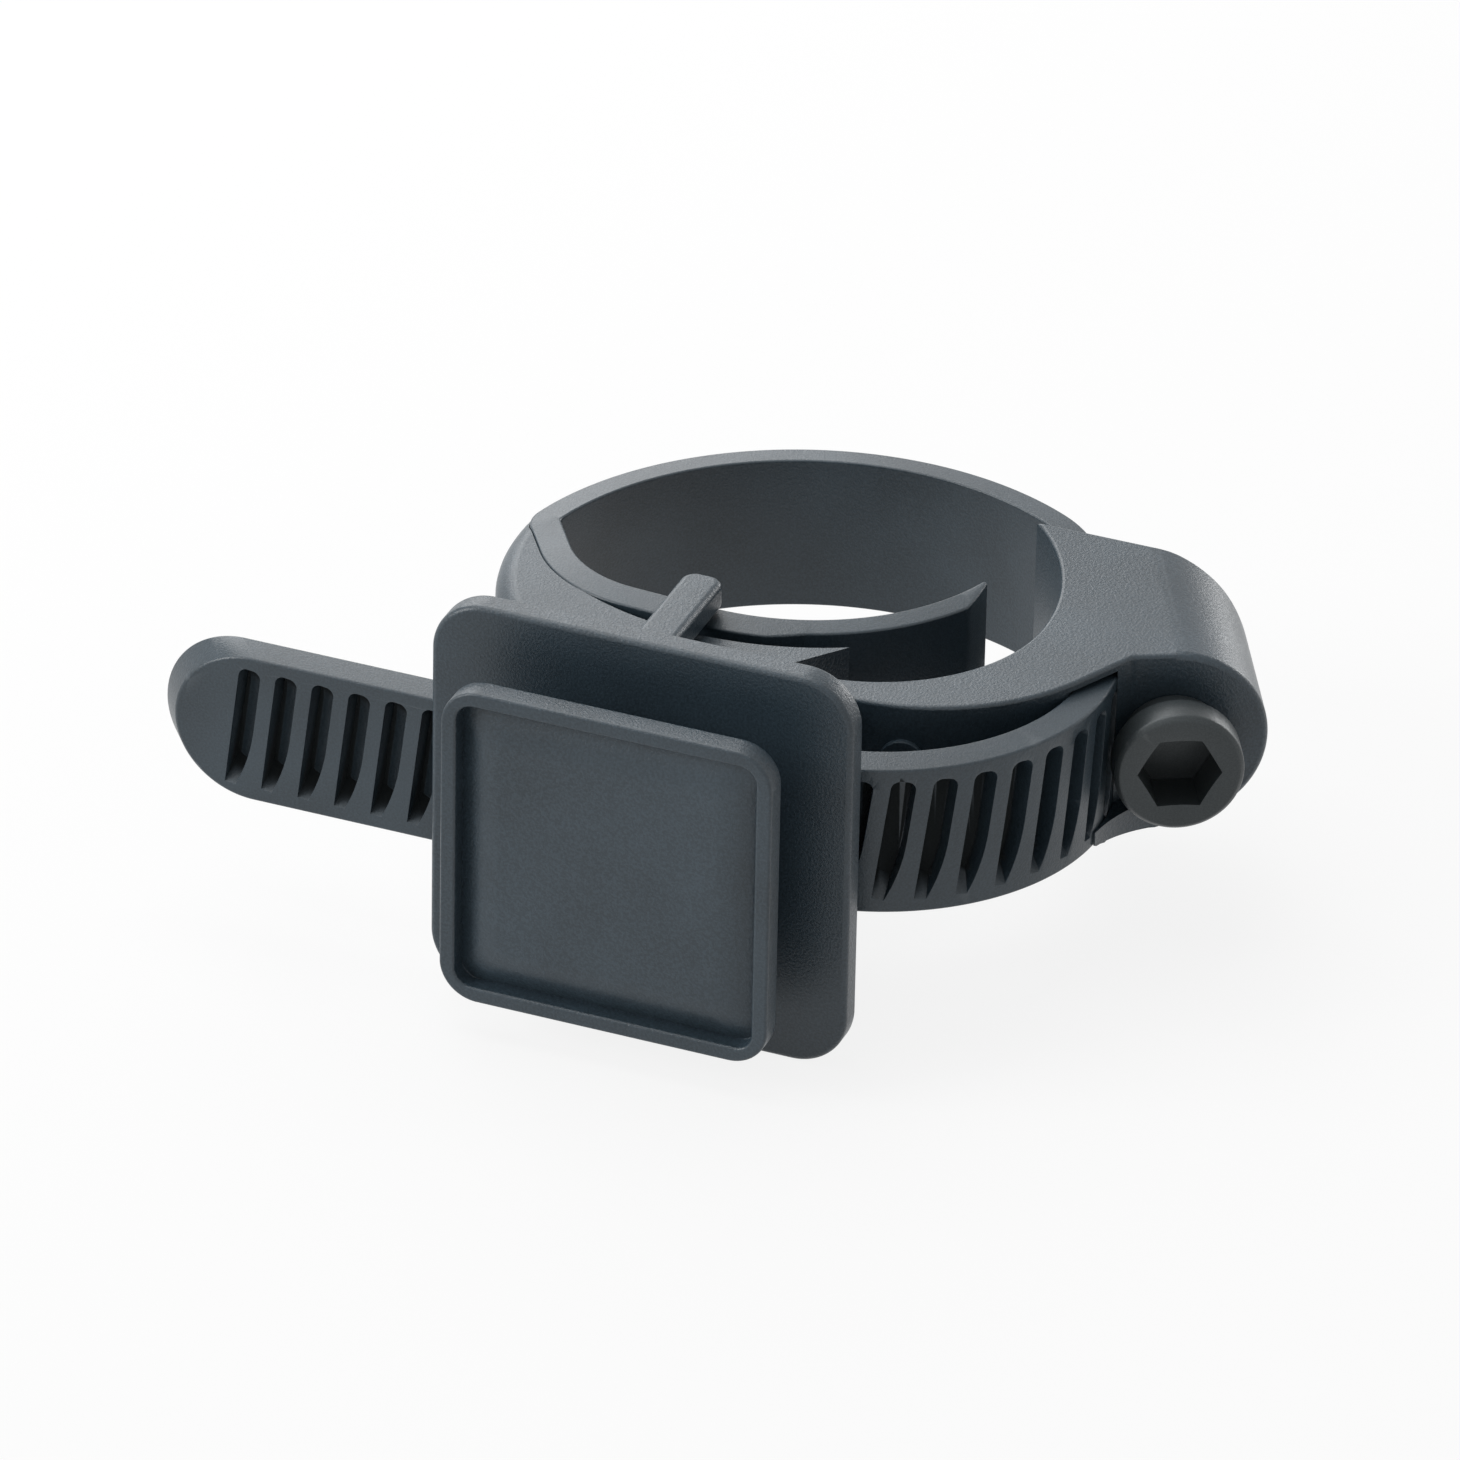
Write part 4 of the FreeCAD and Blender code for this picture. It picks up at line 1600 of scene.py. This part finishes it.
    def build(self) -> bpy.types.Object:
        """Mould the body, cut the strap's channel and the screw's bores, dress and register it.

        Returns:
            The body.
        """
        neck = (self.neck_width, self.neck_height)
        body = self.arm_and_housing()
        parts = [
            self.upright_block("rear_neck", neck, self.plate_back - self.plate_thickness / 2,
                               self.wall_outer + self.strap_clearance, self.neck_corner),
            self.saddle_and_cheek(),
            self.hook_tab(1),
            self.hook_tab(-1),
            self.arm_boss(),
            self.lower_lip(),
            self.plate(),
            self.upright_block("front_neck", neck, self.flange_back - self.window_depth / 4,
                               self.plate_front + self.plate_thickness / 2, self.neck_corner),
            self.flange(),
        ]
        for part in parts:
            Bench.combine(body, part, Cut.JOIN)
        back = self.clip_seat + self.wall_half_height * 2
        channel_reach = self.course.strap_thickness / 2 + self.channel_gap
        cuts = [
            self.course.band("channel", channel_reach, self.channel_half_height),
            self.axis.drum("bore", self.bore_radius, self.barrel_front - self.cut_over, self.bore_end),
            self.axis.drum("rear_bore", self.rear_bore_radius, self.bore_end - self.cut_over,
                           self.clip_seat + self.cut_over),
            self.axis.drum("clip_recess", self.clip_recess_radius, self.clip_seat, back),
        ]
        for cut in cuts:
            Bench.combine(body, cut, Cut.REMOVE)
        body.name = "mount_body_visual"
        body.data.name = "mount_body_visual"
        Bench.finish(body)
        BODY_FINISH.dress(body)
        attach(body, BodyName.FRAME.value)
        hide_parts("mount_body")
        LOG.info("mount body with %d faces", len(body.data.polygons))
        return body


@dataclass
class WormScrew:
    """Socket-head worm screw, turned about Y and then placed on its axis."""

    axis: ScrewAxis
    barrel_front: float = -8.95
    running_clearance: float = 0.06
    head_radius: float = 4.35
    head_length: float = 2.4
    head_chamfer: float = 0.35
    collar_radius: float = 3.5
    collar_length: float = 2.05
    hex_across_flats: float = 4.9
    hex_depth: float = 3.6
    hex_mouth_width: float = 0.45
    hex_mouth_depth: float = 0.16
    front_bearing_wall: float = 2.0
    rear_bearing_wall: float = 1.3
    worm_radius: float = 2.85
    worm_root_radius: float = 1.95
    worm_length: float = 8.6
    thread_pitch: float = 2.64
    thread_foot_width: float = 1.5
    thread_tip_width: float = 0.7
    thread_root_depth: float = 0.5
    thread_runout: float = 0.2
    journal_radius: float = 1.6
    worm_clearance: float = 0.2
    clip_thickness: float = 0.6
    clip_groove_depth: float = 0.4
    end_length: float = 0.7
    edge_round: float = 0.12

    def __post_init__(self) -> None:
        """Work out the stations along the axis."""
        self.collar_seat = self.barrel_front - self.running_clearance
        self.head_back = self.collar_seat - self.collar_length
        self.head_front = self.head_back - self.head_length
        self.worm_start = self.barrel_front + self.front_bearing_wall
        self.worm_end = self.worm_start + self.worm_length
        self.groove = self.worm_end + self.worm_clearance + self.rear_bearing_wall + self.running_clearance

    def turned_blank(self) -> bpy.types.Object:
        """Head, collar, journals and core turned from one profile.

        Returns:
            The blank, along Y.
        """
        chamfer = self.head_chamfer
        groove_end = self.groove + self.clip_thickness
        groove_radius = self.journal_radius - self.clip_groove_depth
        mouth = self.hex_across_flats / 2
        profile = Outline("worm_screw_visual", (0.0, self.head_front + self.hex_mouth_depth), 0.0)
        for point in (
            (mouth, self.head_front + self.hex_mouth_depth),
            (mouth + self.hex_mouth_width, self.head_front),
            (self.head_radius - chamfer, self.head_front),
            (self.head_radius, self.head_front + chamfer),
            (self.head_radius, self.head_back),
            (self.collar_radius, self.head_back),
            (self.collar_radius, self.collar_seat),
            (self.worm_radius, self.collar_seat),
            (self.worm_radius, self.worm_start),
            (self.worm_root_radius, self.worm_start),
            (self.worm_root_radius, self.worm_end),
            (self.journal_radius, self.worm_end),
            (self.journal_radius, self.groove),
            (groove_radius, self.groove),
            (groove_radius, groove_end),
            (self.journal_radius, groove_end),
            (self.journal_radius, groove_end + self.end_length),
            (0.0, groove_end + self.end_length),
        ):
            profile.line(point)
        blank = profile.revolve()
        Bench.round_edges(blank, self.edge_round)
        return blank

    def cut_socket(self, blank: bpy.types.Object) -> None:
        """Cut the hexagon, with two flats level.

        Args:
            blank: The turned blank.
        """
        half = self.hex_across_flats / 2
        Bench.clear()
        bpy.ops.mesh.primitive_cylinder_add(
            vertices=6, radius=half / math.cos(math.radians(30)) * MM, depth=2 * self.hex_depth * MM,
            rotation=(math.radians(90), math.radians(30), 0), location=(0, self.head_front * MM, 0),
        )
        hexagon = Bench.take_new("hexagon")
        Bench.combine(blank, hexagon, Cut.REMOVE)

    def thread(self) -> bpy.types.Object:
        """Thread that drives the strap, swept by a screw and rooted in the core.

        Returns:
            The thread, along Y.
        """
        thread_height = self.worm_radius - self.worm_root_radius
        flank = (self.thread_foot_width - self.thread_tip_width) / 2 / thread_height
        foot_half = self.thread_foot_width / 2 + flank * self.thread_root_depth
        inner = self.worm_root_radius - self.thread_root_depth
        start = self.worm_start + self.thread_runout + foot_half
        height = self.worm_length - 2 * (self.thread_runout + foot_half)
        profile = Outline("thread", (inner, start - foot_half), 0.0)
        profile.line((self.worm_radius, start - self.thread_tip_width / 2))
        profile.line((self.worm_radius, start + self.thread_tip_width / 2))
        profile.line((inner, start + foot_half)).line((inner, start - foot_half))
        piece = profile.loop()
        turns = height / self.thread_pitch
        steps = round(FACETS_SMALL * turns)
        Bench.apply(piece, "SCREW", axis="Y", angle=2 * math.pi * turns, screw_offset=height * MM,
                    steps=steps, render_steps=steps, use_merge_vertices=False)
        Bench.edit_all(piece)
        bpy.ops.mesh.fill_holes(sides=0)
        Bench.face_out()
        Bench.leave_edit()
        return piece

    def build(self) -> bpy.types.Object:
        """Turn, socket and thread the screw, place it, dress it and register it.

        Returns:
            The screw.
        """
        screw = self.turned_blank()
        self.cut_socket(screw)
        Bench.combine(screw, self.thread(), Cut.JOIN)
        Bench.finish(screw)
        screw.data.transform(self.axis.matrix())
        SCREW_FINISH.dress(screw)
        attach(screw, BodyName.SCREW.value)
        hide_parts("worm_screw")
        LOG.info("worm screw with %d faces", len(screw.data.polygons))
        return screw


def plain_box(bounds: tuple) -> list[list[float]]:
    """Corners of a box as plain lists.

    Args:
        bounds: Lowest and highest corner.

    Returns:
        The two corners.
    """
    return [[float(value) for value in corner] for corner in bounds]


def main() -> None:
    """Load the frame, model and dress its pieces, place the camera, and light them over a floor at the
    frame's lowest point.
    """
    logging.basicConfig(level=logging.INFO, format="%(name)s: %(message)s")
    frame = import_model()
    cad_box = plain_box(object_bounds())
    course = StrapCourse()
    axis = ScrewAxis.from_record(frame["record"])
    ClampStrap(course).build()
    MountBody(course, axis).build()
    WormScrew(axis).build()
    CLIP_FINISH.dress(frame["nodes"]["retaining_clip"])
    PhotoCamera().build()
    Studio().build(cad_box[0][2])


if __name__ == "__main__":
    main()
